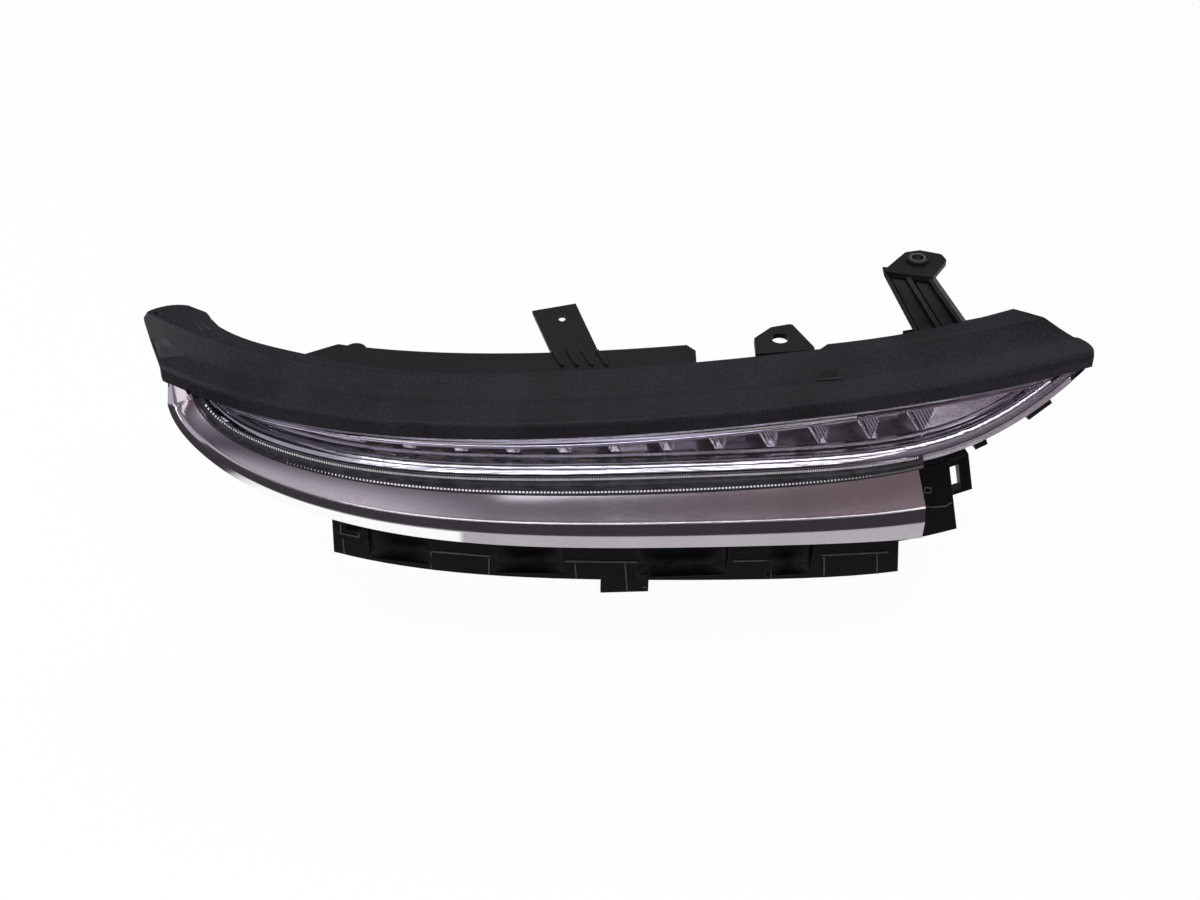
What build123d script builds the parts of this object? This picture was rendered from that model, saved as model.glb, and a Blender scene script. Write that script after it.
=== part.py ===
"""Daytime running light for the front corner of a car, on its own mounting bracket.

Millimetres. +X runs along the lamp, the lens looks towards -Y and +Z is up.
The origin is the middle of the locating hole in the centre tab.
"""

import os
from math import comb, cos, hypot, radians, sin

from build123d import *

# Course of the lamp: control values of its curves, evenly spaced from left to right
COURSE_LEFT = -250.0
COURSE_RIGHT = 262.0
PLAN_DEPTHS = (74.5, -44.0, 12.0, 1.0, 44.5)
FRONT_LEAN = 0.30
SKEW = 0.39

# Lens: its tips, the heights of its upper edge and the inner controls of its lower edge
LENS_LEFT = -204.5
LENS_RIGHT = 245.0
EDGE_HEIGHTS = (3.0, 7.5, 6.0, 17.8)
LOWER_CONTROLS = ((-194.0, -40.0), (118.0, 22.0), (139.0, -60.0))
LENS_WALL = 2.5
LENS_STEP = 4.0
FLANGE_WIDTH = 5.5
LEG_WALL = 2.0
LEG_INSET = 1.5
LEG_DEPTH = 6.0

# Housing tub and the lens's seat in it
GLUE_GAP = 0.8
SEAT_GAP = 0.2
SEAL_DEPTH = 1.5
SEAL_GAP = 0.1
TUB_WALL = 2.2
TUB_DEPTH = 46.0
TUB_CUT = ((200.0, 46.0), (250.0, 17.0))
RIM_LUG_INSET = 1.5
RIM_LUGS = ((198.0, 7.0, 7.0), (228.0, 6.0, 15.0))

# Shelves on top of the tub, as depth behind and height above the lens's upper edge
SHELF_WALL = 2.5
SHELF_LEFT = -152.0
SHELF_RIGHT = 49.0
SHELF_FRONT = 27.0
SHELF_BACK = 49.0
SHELF_CORNERS = (((-153.0, 35.0), (-133.0, 51.0), (-153.0, 51.0)), ((50.0, 42.0), (50.0, 51.0), (43.0, 51.0)))
COVER_CLEAR = 0.6
LEDGE_TOP = 9.0
LEDGE_FRONT = 20.0
LEDGE_BACK = 36.0
LEFT_LEDGE = (-202.0, -156.0)
RIGHT_LEDGE = (70.0, 218.0)
RIB_DEPTH = 32.0
RIB_WALL = 2.4
GUSSETS = 6
GUSSET_WALL = 2.0
SHELF_BOSS = (-126.0, 46.5)
SHELF_BOSS_RADIUS = 5.5

# Centre tab with the locating hole
TAB_X = -19.7
TAB_RISE = 21.5
TAB_TILT = 20.0
TAB_WIDTH = 24.5
TAB_SIDE = 13.8
TAB_END = 7.0
TAB_WALL = 2.6
TAB_HOLE_RADIUS = 2.0
TAB_RIBS = 4
TAB_RIB_LENGTH = 13.0
TAB_RIB_WALL = 1.8
TAB_RIB_HEIGHT = 1.6

# Lug, placed by its hole
LUG_HOLE = (92.3, 55.5)
LUG_HOLE_RADIUS = 4.5
LUG_LIFT = 19.8
LUG_WALL = 3.0
LUG_OUTLINE = ((-13.3, -14.0), (-13.3, 0.0), (-4.0, 10.0), (7.0, 13.2), (17.0, -8.0), (17.0, -10.0))
LUG_ROUND = 2.0

# Rear arm, placed by its hole
ARM_HOLE = (167.5, 105.5)
ARM_TOP = 45.0
ARM_PLATE = ((-19.5, -10.9), (-5.5, 7.5), (2.5, 9.5), (13.5, 5.5), (15.5, -0.5), (6.0, -16.7))
ARM_WALL = 3.0
ARM_ROUND = 2.5
ARM_FOOT = ((166.0, 66.5), (194.0, 75.5))
ARM_HEAD = ((148.5, 98.0), (173.5, 95.0))
ARM_RIBS = 3
ARM_RIB_WALL = 2.4
ARM_RIB_DEPTH = 6.0
ARM_PAD = (158.0, 202.0)
ARM_PAD_BACK = 50.0
ARM_PAD_WALL = 4.0
BOSS_RADIUS = 6.2
BOSS_RISE = 1.5
BUSH_RADIUS = 4.5
BUSH_BORE = 3.1
BUSH_LENGTH = 9.0
PRESS_GAP = 0.05

# Top cover, as depth behind and height above the lens's upper edge
COVER_LEFT = -242.0
COVER_RIGHT = 252.0
COVER_WALL = 2.5
LIP_GAP = 0.4
LIP_FRONT = -1.5
BROW = (-2.0, 9.0)
VALLEY = (13.0, 12.3)
CREST = (25.5, 20.0)
COVER_ROUNDS = (4.0, 8.0, 3.0)
COVER_REACH = 46.0
NOSE_START = 214.0
NOSE_VALLEY = 11.0
NOSE_CREST = 12.5
EAR = ((-226.0, -4.4), (-241.5, 21.6), (-228.0, 39.9), (-204.5, 42.0))
COVER_BACK_LEFT = (
    (-199.0, 37.5),
    (-181.0, 33.4),
    (-153.0, 32.0),
    (-116.0, 28.0),
    (-20.0, 28.0),
    (72.0, 29.0),
    (112.0, 29.5),
)
COVER_BACK_RIGHT = ((116.0, 33.0), (165.0, 33.5), (194.0, 35.7), (214.0, 38.0))
NOSE = ((243.0, 13.0), (252.0, 1.5), (247.0, -8.0))
EAR_HOLE = (-234.5, 27.6)
EAR_HOLE_RADIUS = 1.1
COVER_BOSS_DEPTH = 26.0
COVER_BOSS_RADIUS = 3.6
COVER_BOSSES = (-192.0, -166.0, 120.0, 150.0, 210.0)

# Trim strip: width and depth of its folds below the lens's flange, from left to right
TRIM_GAP = 0.5
TRIM_WALL = 2.0
TRIM_RETURN = 4.5
CREASE_WIDTHS = (6.5, 14.0, 17.0)
SHADE_WIDTHS = (10.0, 21.5, 25.0)
TRIM_WIDTHS = (13.0, 30.0, 36.5)
CREASE_DEPTHS = (-4.0, -9.0, -9.0)
TRIM_BENDS = (0.6, 1.0, 10.0)
TRIM_BULGE = 0.5
TRIM_START = -0.05
TRIM_RIGHT = 163.0
TRIM_SPARE = 8.0
TRIM_END_SKEW = 0.6
TRIM_TOP_GAP = 0.5

# Lower bracket, in the trim's widths and depths
BRACKET_GAP = 0.3
BRACKET_LEFT = -137.0
BRACKET_RIGHT = 153.0
BRACKET_WALL = 2.6
BLOCK_DROP = 27.0
BLOCK_HIDDEN = 8.0
BLOCK_DEPTH = 12.0
SEAT_BACK = 42.0
SEAT_SCREW = 36.0
BRACKET_SCREWS = (-120.0, -45.0, 150.0)
SEAT_BOSS = 7.0
WEB_DROP = 4.0
WEB_CLEAR = 2.2
WINDOW = (-130.0, -121.0)
WINDOW_DROP = 10.0
POCKETS = ((-119.0, -86.0), (-55.0, -19.0), (20.0, 67.0), (87.0, 111.0))
PANELS = ((-84.0, -57.0), (-17.0, 18.0), (69.0, 85.0), (113.0, 143.0))
HANG_TAB = (1.0, 26.0)
HANG_DROP = 8.5
END_RIGHT = 179.0
END_DROP = 50.0
END_FRONT = 3.0
END_DEPTH = 8.0
FINGER_RIGHT = 191.0
FINGER_WIDTH = 6.0
FINGER_DROP = 24.0
FINGER_BAR = 5.0

# Light unit inside the tub: cells, their light sources and the board behind them
BEZEL_INSET = 0.5
BEZEL_WALL = 1.6
BEZEL_FRONT = 4.2
BEZEL_BACK = 11.0
STACK_GAP = 0.2
REFLECTOR_GAP = 0.4
REFLECTOR_DEPTH = 8.0
CELLS = 11
CELL_LEFT = -125.0
CELL_PITCH = 26.0
CELL_WALL = 1.6
CELL_MARGIN = 4.0
CELL_SLANT = 0.6
CELL_THROAT = (9.0, 6.0)
LED_SIZE = 3.5
LED_HEIGHT = 1.4
BOARD_INSET = 3.0
BOARD_WALL = 1.6
PAD_WALL = 0.5
SPREADER_WALL = 2.0
BOARD_OVERHANG = 5.0
BOARD_SCREW_CELLS = (1, 4, 7, 10)
REFLECTOR_SCREWS = (-166.0, 214.0)
REFLECTOR_SINK = 2.0
BOSS_WALL = 2.4

# Driver, socket and breathers at the back of the tub
DRIVER_X = 96.0
DRIVER_SIZE = (58.0, 13.0, 1.6)
DRIVER_POST = 4.0
DRIVER_POST_RADIUS = 2.5
SOCKET_X = 24.0
SOCKET_SIZE = (20.0, 11.0)
SOCKET_DEPTH = 14.0
SOCKET_WALL = 2.0
PIN_SIZE = 1.2
PIN_PITCH = 4.2
PINS = 4
PIN_REACH = 8.0
BREATHERS = (-60.0, 150.0)
NIPPLE_RADIUS = 3.0
NIPPLE_LENGTH = 7.5
CAP_WALL = 1.6
CAP_GAP = 0.2
INDUCTOR_PLACE = 18.0
INDUCTOR_RADIUS = 4.5
INDUCTOR_HEIGHT = 5.0
CHIP_PLACE = 6.0
CHIP_SIZE = (8.0, 6.0)
CHIP_HEIGHT = 1.5
CAPACITOR_PLACES = (6.0, 15.0)
CAPACITOR_RADIUS = 3.0
CAPACITOR_HEIGHT = 6.0

# Screws: one size throughout
SCREW_RADIUS = 1.4
SCREW_HEAD_RADIUS = 2.8
SCREW_HEAD = 1.6
SCREW_LENGTH = 10.0
SCREW_GAP = 0.15

# How far cutting shapes reach, and how many points draw a grown outline
OUTLINE_POINTS = 17
RAIL_SECTIONS = 7
COVER_SECTIONS = 15
TRIM_SECTIONS = 9
SPAN = 120.0
FAR = 160.0

FLANGE_BACK = LENS_STEP + LENS_WALL
LEG_OUT = FLANGE_WIDTH - LEG_INSET
LEG_IN = LEG_OUT - LEG_WALL
LEG_END = FLANGE_BACK + LEG_DEPTH
RIM_FRONT = FLANGE_BACK + SEAT_GAP
GROOVE_OUT = LEG_OUT + GLUE_GAP
GROOVE_IN = LEG_IN - GLUE_GAP
GROOVE_END = LEG_END + SEAL_DEPTH
RIM_OUT = GROOVE_OUT + TUB_WALL
RIM_BACK = GROOVE_END + TUB_WALL
TUB_OUT = GROOVE_IN
TUB_IN = TUB_OUT - TUB_WALL
TUB_FLOOR = TUB_DEPTH - TUB_WALL
SHELF_TOP = CREST[1] - COVER_WALL - COVER_CLEAR
TRIM_OUT = FLANGE_WIDTH + TRIM_GAP
BEZEL_OUT = -LENS_WALL - BEZEL_INSET
REFLECTOR_FRONT = BEZEL_BACK + STACK_GAP
REFLECTOR_BACK = REFLECTOR_FRONT + REFLECTOR_DEPTH
REFLECTOR_OUT = TUB_IN - REFLECTOR_GAP
BOARD_FRONT = REFLECTOR_BACK + SCREW_HEAD + 2 * STACK_GAP
BOARD_BACK = BOARD_FRONT + BOARD_WALL
SPREADER_FRONT = BOARD_BACK + PAD_WALL
SPREADER_BACK = SPREADER_FRONT + SPREADER_WALL
SEAT_TOP = TUB_OUT - TRIM_OUT + BRACKET_GAP


def bernstein(controls, share):
    """Value of a Bezier curve's one coordinate at a share of its length."""
    degree = len(controls) - 1
    return sum(
        comb(degree, i) * share**i * (1 - share) ** (degree - i) * value
        for i, value in enumerate(controls)
    )


def along(x):
    """Share of the course at X."""
    return (x - COURSE_LEFT) / (COURSE_RIGHT - COURSE_LEFT)


def edge_height(x):
    """Height of the lens's upper edge at X, and of its course past the lens's tips."""
    return bernstein(EDGE_HEIGHTS, (x - LENS_LEFT) / (LENS_RIGHT - LENS_LEFT))


def front(x, z):
    """Depth of the lens's front at X and Z."""
    return bernstein(PLAN_DEPTHS, along(x)) + FRONT_LEAN * z


def steps(first, last, count):
    """Evenly spaced values from first to last."""
    return [first + (last - first) * i / (count - 1) for i in range(count)]


LOWER_EDGE = [(LENS_LEFT, EDGE_HEIGHTS[0]), *LOWER_CONTROLS, (LENS_RIGHT, EDGE_HEIGHTS[-1])]


def station(x):
    """Plane across the lamp at X: depth behind and height above the lens's upper edge."""
    z = edge_height(x)
    return Plane(origin=(x, front(x, z), z), x_dir=(0, 1, 0), z_dir=(1, 0, 0))


def lower_point(share, out):
    """Point and outward direction in X and Z, that far outside the lens's lower edge.

    Before its start the edge runs on straight.
    """
    on_edge = max(0.0, share)
    pairs = list(zip(LOWER_EDGE, LOWER_EDGE[1:]))
    run_x = bernstein([b[0] - a[0] for a, b in pairs], on_edge)
    run_z = bernstein([b[1] - a[1] for a, b in pairs], on_edge)
    before = (share - on_edge) * len(pairs)
    x = bernstein([c[0] for c in LOWER_EDGE], on_edge) + before * run_x
    z = bernstein([c[1] for c in LOWER_EDGE], on_edge) + before * run_z
    size = hypot(run_x, run_z)
    out_x, out_z = run_z / size, -run_x / size
    return x + out * out_x, z + out * out_z, out_x, out_z


def lower_share(x, out):
    """Share of the lower edge whose outside point lies at X."""
    low, high = 0.0, 1.0
    for _ in range(40):
        centre = (low + high) / 2
        if lower_point(centre, out)[0] < x:
            low = centre
        else:
            high = centre
    return low


def lower_station(share, out):
    """Plane across the lower edge: width below the flange and depth behind the front."""
    x, z, out_x, out_z = lower_point(share, out)
    return Plane(origin=(x, front(x, z), z), x_dir=(out_x, 0, out_z), z_dir=(-out_z, 0, out_x))


def on_front(x, z, depth):
    """Plane on the lamp's course at that depth behind the front, facing out of the lamp."""
    tilt = front(x + 0.5, z) - front(x - 0.5, z)
    return Plane(origin=(x, front(x, z) + depth, z), x_dir=(1, tilt, 0), z_dir=(tilt, -1, FRONT_LEAN))


def rearward(x, z, depth):
    """Plane at that depth behind the front, facing straight back."""
    return Plane(origin=(x, front(x, z) + depth, z), x_dir=(1, 0, 0), z_dir=(0, 1, 0))


def behind(x, depth):
    """Place in plan at that depth behind the lens's upper edge."""
    return x, front(x, edge_height(x)) + depth


def middle(x):
    """Height midway between the lens's two edges at X."""
    return (edge_height(x) + lower_point(lower_share(x, 0), 0)[1]) / 2


def course_plane(x):
    """Plane at the trim's upper edge: width below it, depth behind it and length along the lamp."""
    share = lower_share(x, TRIM_OUT)
    here = lower_station(share, TRIM_OUT)
    way = lower_station(share + 0.001, TRIM_OUT).origin - lower_station(share - 0.001, TRIM_OUT).origin
    return Plane(origin=here.origin, x_dir=here.x_dir, z_dir=way)


def tip_share(tip, grow):
    """Share of the lower edge, near a tip, where it meets the upper edge once both have moved."""
    if grow >= 0:
        return tip
    outside, inside = tip, 0.5
    for _ in range(40):
        centre = (outside + inside) / 2
        x, z, _, _ = lower_point(centre, grow)
        if z < edge_height(x) + grow:
            inside = centre
        else:
            outside = centre
    return inside


def outline(grow):
    """The lens's window seen from the front, grown or shrunk all round."""
    shares = steps(tip_share(0, grow), tip_share(1, grow), OUTLINE_POINTS)
    lower = [lower_point(share, grow)[:2] for share in shares]
    left, right = (LENS_LEFT, LENS_RIGHT) if grow >= 0 else (lower[0][0], lower[-1][0])
    upper = [(x, edge_height(x) + grow) for x in steps(left, right, OUTLINE_POINTS)]
    with BuildSketch(Plane.XZ) as window:
        with BuildLine():
            Spline(*upper)
            Spline(*lower)
            if grow > 0:
                ThreePointArc(upper[0], (left - grow, edge_height(left)), lower[0])
                ThreePointArc(upper[-1], (right + grow, edge_height(right)), lower[-1])
        make_face()
    return window.sketch


def band(near, far):
    """Everything between two depths behind the front."""
    columns = steps(COURSE_LEFT, COURSE_RIGHT, len(PLAN_DEPTHS))
    shift = -FRONT_LEAN * SPAN
    with BuildPart() as layer:
        with BuildSketch(Plane.XY.offset(-SPAN)):
            with BuildLine():
                ahead = Bezier(*[(x, y + shift + near) for x, y in zip(columns, PLAN_DEPTHS)])
                rear = Bezier(*[(x, y + shift + far) for x, y in zip(columns, PLAN_DEPTHS)])
                Line(ahead @ 0, rear @ 0)
                Line(ahead @ 1, rear @ 1)
            make_face()
        extrude(amount=2 * SPAN * hypot(1, FRONT_LEAN), dir=(0, FRONT_LEAN, 1))
    return layer.part


def slab(grow, near, far):
    """The lens's outline, grown or shrunk, between two depths behind the front."""
    window = outline(grow)
    layer = band(near, far)
    with BuildPart() as plate:
        extrude(window, amount=FAR, both=True)
        add(layer, mode=Mode.INTERSECT)
    return plate.part


def strip(grow, near, far, left, right):
    """A slab cut off at two places along the lamp."""
    plate = slab(grow, near, far)
    with BuildPart() as length:
        add(plate)
        with Locations(((left + right) / 2, 0, 0)):
            Box(right - left, 2 * FAR, 2 * FAR, mode=Mode.INTERSECT)
    return length.part


def posts(places, radius, near, far):
    """Round posts square to the lamp's course between two depths behind the front."""
    layer = band(near, far)
    with BuildPart() as group:
        for x, z in places:
            with BuildSketch(on_front(x, z, near - radius)):
                Circle(radius)
            extrude(amount=near - far - 2 * radius)
        add(layer, mode=Mode.INTERSECT)
    return group.part


def drills(planes, length):
    """Clearance holes for screws, from each plane backwards."""
    with BuildPart() as group:
        for plane in planes:
            with BuildSketch(plane.offset(SCREW_HEAD)):
                Circle(SCREW_RADIUS + SCREW_GAP)
            extrude(amount=-length - SCREW_HEAD)
    return group.part


def bar(x, near, far, low, high):
    """Oblong section across the lamp at X."""
    with BuildSketch(station(x)) as section:
        with Locations(((near + far) / 2, (low + high) / 2)):
            Rectangle(far - near, high - low)
    return section.sketch


def rail(left, right, near, far, low, high):
    """A bar along the lamp between two places."""
    with BuildPart() as length:
        loft([bar(x, near, far, low, high) for x in steps(left, right, RAIL_SECTIONS)])
    return length.part


def wall_section(plane, points, radii, wall, side):
    """A folded wall of even thickness along a path."""
    with BuildSketch(plane) as section:
        with BuildLine():
            path = FilletPolyline(*points, radius=radii)
            offset(path, amount=wall, side=side)
        make_face()
    return section.sketch


def block(plane, widths, depths, lengths):
    """An oblong block on a course plane."""
    with BuildPart() as solid:
        with BuildSketch(plane.offset(lengths[0])):
            with Locations((sum(widths) / 2, sum(depths) / 2)):
                Rectangle(widths[1] - widths[0], depths[1] - depths[0])
        extrude(amount=lengths[1] - lengths[0])
    return solid.part


# Screw places: a plane on each seat, facing the head
cell_walls = [CELL_LEFT + CELL_PITCH * cell for cell in BOARD_SCREW_CELLS]
board_seats = [on_front(x, middle(x), BOARD_FRONT - PRESS_GAP) for x in cell_walls]
reflector_seats = [
    on_front(x, middle(x), REFLECTOR_FRONT + REFLECTOR_SINK - PRESS_GAP) for x in REFLECTOR_SCREWS
]
cover_seats = []
for x in COVER_BOSSES:
    under_ledge = edge_height(x) + LEDGE_TOP - SHELF_WALL - PRESS_GAP
    slope = edge_height(x + 0.5) - edge_height(x - 0.5)
    cover_seats.append(Plane(origin=(*behind(x, COVER_BOSS_DEPTH), under_ledge), z_dir=(slope, 0, -1)))
bracket_seats = []
for x in BRACKET_SCREWS:
    across = lower_station(lower_share(x, TRIM_OUT), TRIM_OUT)
    seat = across.from_local_coords((SEAT_TOP + BRACKET_WALL + PRESS_GAP, SEAT_SCREW, 0))
    bracket_seats.append(Plane(origin=seat, z_dir=across.x_dir))

# Outer lens: window, recessed flange and the leg that stands in the housing's groove
lens_leg = slab(LEG_OUT, LENS_STEP, LEG_END)
inside_leg = slab(LEG_IN, FLANGE_BACK, LEG_END)
lens_flange = slab(FLANGE_WIDTH, LENS_STEP, FLANGE_BACK)
lens_window = slab(0, 0, FLANGE_BACK)
lens_hollow = slab(-LENS_WALL, LENS_WALL, LEG_END)
with BuildPart() as outer_lens:
    add(lens_leg)
    add(inside_leg, mode=Mode.SUBTRACT)
    add(lens_flange)
    add(lens_window)
    add(lens_hollow, mode=Mode.SUBTRACT)

# Lens seal in the floor of the groove
seal_outside = slab(GROOVE_OUT - SEAL_GAP, LEG_END + SEAL_GAP, GROOVE_END - SEAL_GAP)
seal_inside = slab(GROOVE_IN + SEAL_GAP, LEG_END, GROOVE_END)
with BuildPart() as lens_seal:
    add(seal_outside)
    add(seal_inside, mode=Mode.SUBTRACT)

# Inner bezel: a bright frame with a lip round the cells
bezel_outside = slab(BEZEL_OUT, BEZEL_FRONT, BEZEL_BACK)
bezel_inside = slab(BEZEL_OUT - BEZEL_WALL, 0, BEZEL_BACK - BEZEL_WALL)
bezel_opening = slab(BEZEL_OUT - 2 * BEZEL_WALL, 0, BEZEL_BACK)
with BuildPart() as inner_bezel:
    add(bezel_outside)
    add(bezel_inside, mode=Mode.SUBTRACT)
    add(bezel_opening, mode=Mode.SUBTRACT)

# Reflector: slanted cells that narrow to a throat in front of each light source
cell_places = [CELL_LEFT + CELL_PITCH * (cell + 0.5) for cell in range(CELLS)]
reflector_block = slab(REFLECTOR_OUT, REFLECTOR_FRONT, REFLECTOR_BACK)
with BuildPart() as cells:
    for x in cell_places:
        z = middle(x)
        half = edge_height(x) - z - CELL_MARGIN
        side = (CELL_PITCH - CELL_WALL) / 2
        lean = CELL_SLANT * half
        with BuildSketch(on_front(x, z, REFLECTOR_FRONT - CELL_WALL)):
            Polygon(
                (-side - lean, half),
                (-side + lean, -half),
                (side + lean, -half),
                (side - lean, half),
                align=None,
            )
        with BuildSketch(on_front(x, z, REFLECTOR_BACK + CELL_WALL)):
            Rectangle(*CELL_THROAT)
        loft(ruled=True)
with BuildPart() as reflector:
    add(reflector_block)
    add(cells.part, mode=Mode.SUBTRACT)
    for seat in reflector_seats:
        with BuildSketch(seat.offset(-PRESS_GAP)):
            Circle(SCREW_HEAD_RADIUS + SCREW_GAP)
        extrude(amount=2 * REFLECTOR_SINK, mode=Mode.SUBTRACT)
        with BuildSketch(seat):
            Circle(SCREW_RADIUS + SCREW_GAP)
        extrude(amount=-2 * REFLECTOR_DEPTH, mode=Mode.SUBTRACT)

# Light sources, their board, the thermal pad and the heat spreader
with BuildPart() as leds:
    for x in cell_places:
        with BuildSketch(on_front(x, middle(x), BOARD_FRONT - PRESS_GAP)):
            Rectangle(LED_SIZE, LED_SIZE)
        extrude(amount=LED_HEIGHT)

board_ends = (CELL_LEFT - BOARD_OVERHANG, CELL_LEFT + CELL_PITCH * CELLS + BOARD_OVERHANG)
board_grow = REFLECTOR_OUT - BOARD_INSET
board_drills = drills(board_seats, SCREW_LENGTH)
board_plate = strip(board_grow, BOARD_FRONT, BOARD_BACK, *board_ends)
with BuildPart() as led_board:
    add(board_plate)
    add(board_drills, mode=Mode.SUBTRACT)
pad_plate = strip(board_grow - PAD_WALL, BOARD_BACK + PRESS_GAP, SPREADER_FRONT - PRESS_GAP, *board_ends)
with BuildPart() as thermal_pad:
    add(pad_plate)
    add(board_drills, mode=Mode.SUBTRACT)
spreader_plate = strip(board_grow + PAD_WALL, SPREADER_FRONT, SPREADER_BACK, *board_ends)
with BuildPart() as heat_spreader:
    add(spreader_plate)
    add(board_drills, mode=Mode.SUBTRACT)

# Driver board and its parts
driver_plane = on_front(DRIVER_X, middle(DRIVER_X), TUB_FLOOR - DRIVER_POST)
driver_reach = DRIVER_SIZE[0] / 2 - 2 * DRIVER_POST_RADIUS
with BuildPart() as driver_board:
    with BuildSketch(driver_plane):
        Rectangle(DRIVER_SIZE[0], DRIVER_SIZE[1])
    extrude(amount=DRIVER_SIZE[2])
parts_plane = driver_plane.offset(DRIVER_SIZE[2] + PRESS_GAP)
with BuildPart() as driver_parts:
    with BuildSketch(parts_plane):
        with Locations((-INDUCTOR_PLACE, 0)):
            Circle(INDUCTOR_RADIUS)
    extrude(amount=INDUCTOR_HEIGHT)
    with BuildSketch(parts_plane):
        with Locations(*[(x, 0) for x in CAPACITOR_PLACES]):
            Circle(CAPACITOR_RADIUS)
    extrude(amount=CAPACITOR_HEIGHT)
    with BuildSketch(parts_plane):
        with Locations((-CHIP_PLACE, 0)):
            Rectangle(*CHIP_SIZE)
    extrude(amount=CHIP_HEIGHT)

# Rear housing: tub, shelves, tabs, arm, socket and screw bosses
groove = slab(GROOVE_OUT, LENS_STEP, GROOVE_END)
tub_rim = slab(RIM_OUT, RIM_FRONT, RIM_BACK)
tub_body = slab(TUB_OUT, RIM_FRONT, TUB_DEPTH)
tub_hollow = slab(TUB_IN, 0, TUB_FLOOR)
cut_start, cut_end = [Vector(*behind(*place)) for place in TUB_CUT]
cut_way = cut_end - cut_start
tub_cut = Plane(origin=cut_start, x_dir=cut_way, z_dir=(-cut_way.Y, cut_way.X, 0))
with BuildPart() as tub_outside:
    add(tub_body)
    split(bisect_by=tub_cut, keep=Keep.BOTTOM)
with BuildPart() as tub_inside:
    add(tub_hollow)
    split(bisect_by=tub_cut.offset(-TUB_WALL), keep=Keep.BOTTOM)
boss_radius = SCREW_RADIUS + SCREW_GAP + BOSS_WALL
boss_end = TUB_DEPTH - TUB_WALL / 2
board_bosses = posts([(x, middle(x)) for x in cell_walls], boss_radius, SPREADER_BACK + STACK_GAP, boss_end)
reflector_bosses = [
    posts([(x, middle(x))], boss_radius, REFLECTOR_BACK + STACK_GAP, boss_end) for x in REFLECTOR_SCREWS
]
with BuildPart() as nose_boss:
    add(reflector_bosses[-1])
    split(bisect_by=tub_cut.offset(-TUB_WALL / 2), keep=Keep.BOTTOM)
housing_seats = [*board_seats, *reflector_seats, *cover_seats, *bracket_seats]
housing_drills = drills(housing_seats, SCREW_LENGTH + SCREW_HEAD)

rib_depths = (RIB_DEPTH, RIB_DEPTH + RIB_WALL)
rails = [rail(SHELF_LEFT, SHELF_RIGHT, *rib_depths, 0, SHELF_TOP - SHELF_WALL / 2)]
for ends in (LEFT_LEDGE, RIGHT_LEDGE):
    rails.append(rail(*ends, LEDGE_FRONT, LEDGE_BACK, LEDGE_TOP - SHELF_WALL, LEDGE_TOP))
    rails.append(rail(*ends, *rib_depths, 0, LEDGE_TOP - SHELF_WALL / 2))
pad_middle = LEDGE_TOP - SHELF_WALL / 2
pad_heights = (pad_middle - ARM_PAD_WALL / 2, pad_middle + ARM_PAD_WALL / 2)
rails.append(rail(*ARM_PAD, RIB_DEPTH + RIB_WALL / 2, ARM_PAD_BACK, *pad_heights))
shelf_plate = rail(SHELF_LEFT, SHELF_RIGHT, SHELF_FRONT, SHELF_BACK, SHELF_TOP - SHELF_WALL, SHELF_TOP)

tab_foot = (*behind(TAB_X, SHELF_BACK), edge_height(TAB_X) + SHELF_TOP)
tab_up = Vector(0, cos(radians(TAB_TILT)), sin(radians(TAB_TILT)))
TAB_HOLE = Vector(*tab_foot) + tab_up * TAB_RISE
tab_plane = Plane(origin=TAB_HOLE, x_dir=(1, 0, 0), z_dir=(0, -tab_up.Z, tab_up.Y))


def tab_edge(side, up):
    """Place on the tab's left or right edge at that distance up its slope."""
    return side - SKEW * up, up


lug_z = edge_height(LUG_HOLE[0]) + LUG_LIFT
lug_front = [(LUG_HOLE[0] + x, LUG_HOLE[1] + y) for x, y in (LUG_OUTLINE[0], LUG_OUTLINE[-1])]
arm_foot_z = edge_height(sum(ARM_PAD) / 2) + pad_middle


def arm_quad(z, ends, near, far):
    """Oblong section of the arm at a height, between two ends and two depths."""
    (x0, y0), (x1, y1) = ends
    with BuildSketch(Plane.XY.offset(z)) as section:
        Polygon((x0, y0 + near), (x1, y1 + near), (x1, y1 + far), (x0, y0 + far), align=None)
    return section.sketch


def between(ends, share):
    """Place at a share of the way between two places in plan."""
    (x0, y0), (x1, y1) = ends
    return x0 + (x1 - x0) * share, y0 + (y1 - y0) * share


arm_webs = [(ARM_FOOT, ARM_HEAD, 0, ARM_WALL)]
for rib in range(ARM_RIBS):
    rib_ends = []
    for ends in (ARM_FOOT, ARM_HEAD):
        wall = ARM_RIB_WALL / (ends[1][0] - ends[0][0])
        start = (1 - wall) * rib / (ARM_RIBS - 1)
        rib_ends.append((between(ends, start), between(ends, start + wall)))
    arm_webs.append((*rib_ends, -ARM_RIB_DEPTH, ARM_WALL / 2))

socket_z = middle(SOCKET_X)
socket_floor = TUB_DEPTH + TUB_WALL
pin_places = [(PIN_PITCH * (pin - (PINS - 1) / 2), 0) for pin in range(PINS)]
lug_depths = (RIM_FRONT + RIM_LUG_INSET, RIM_BACK - RIM_LUG_INSET)
rim_lugs = [
    block(course_plane(x), (GROOVE_OUT - TRIM_OUT + TUB_WALL / 2, drop), lug_depths, (-length / 2, length / 2))
    for x, drop, length in RIM_LUGS
]

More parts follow.
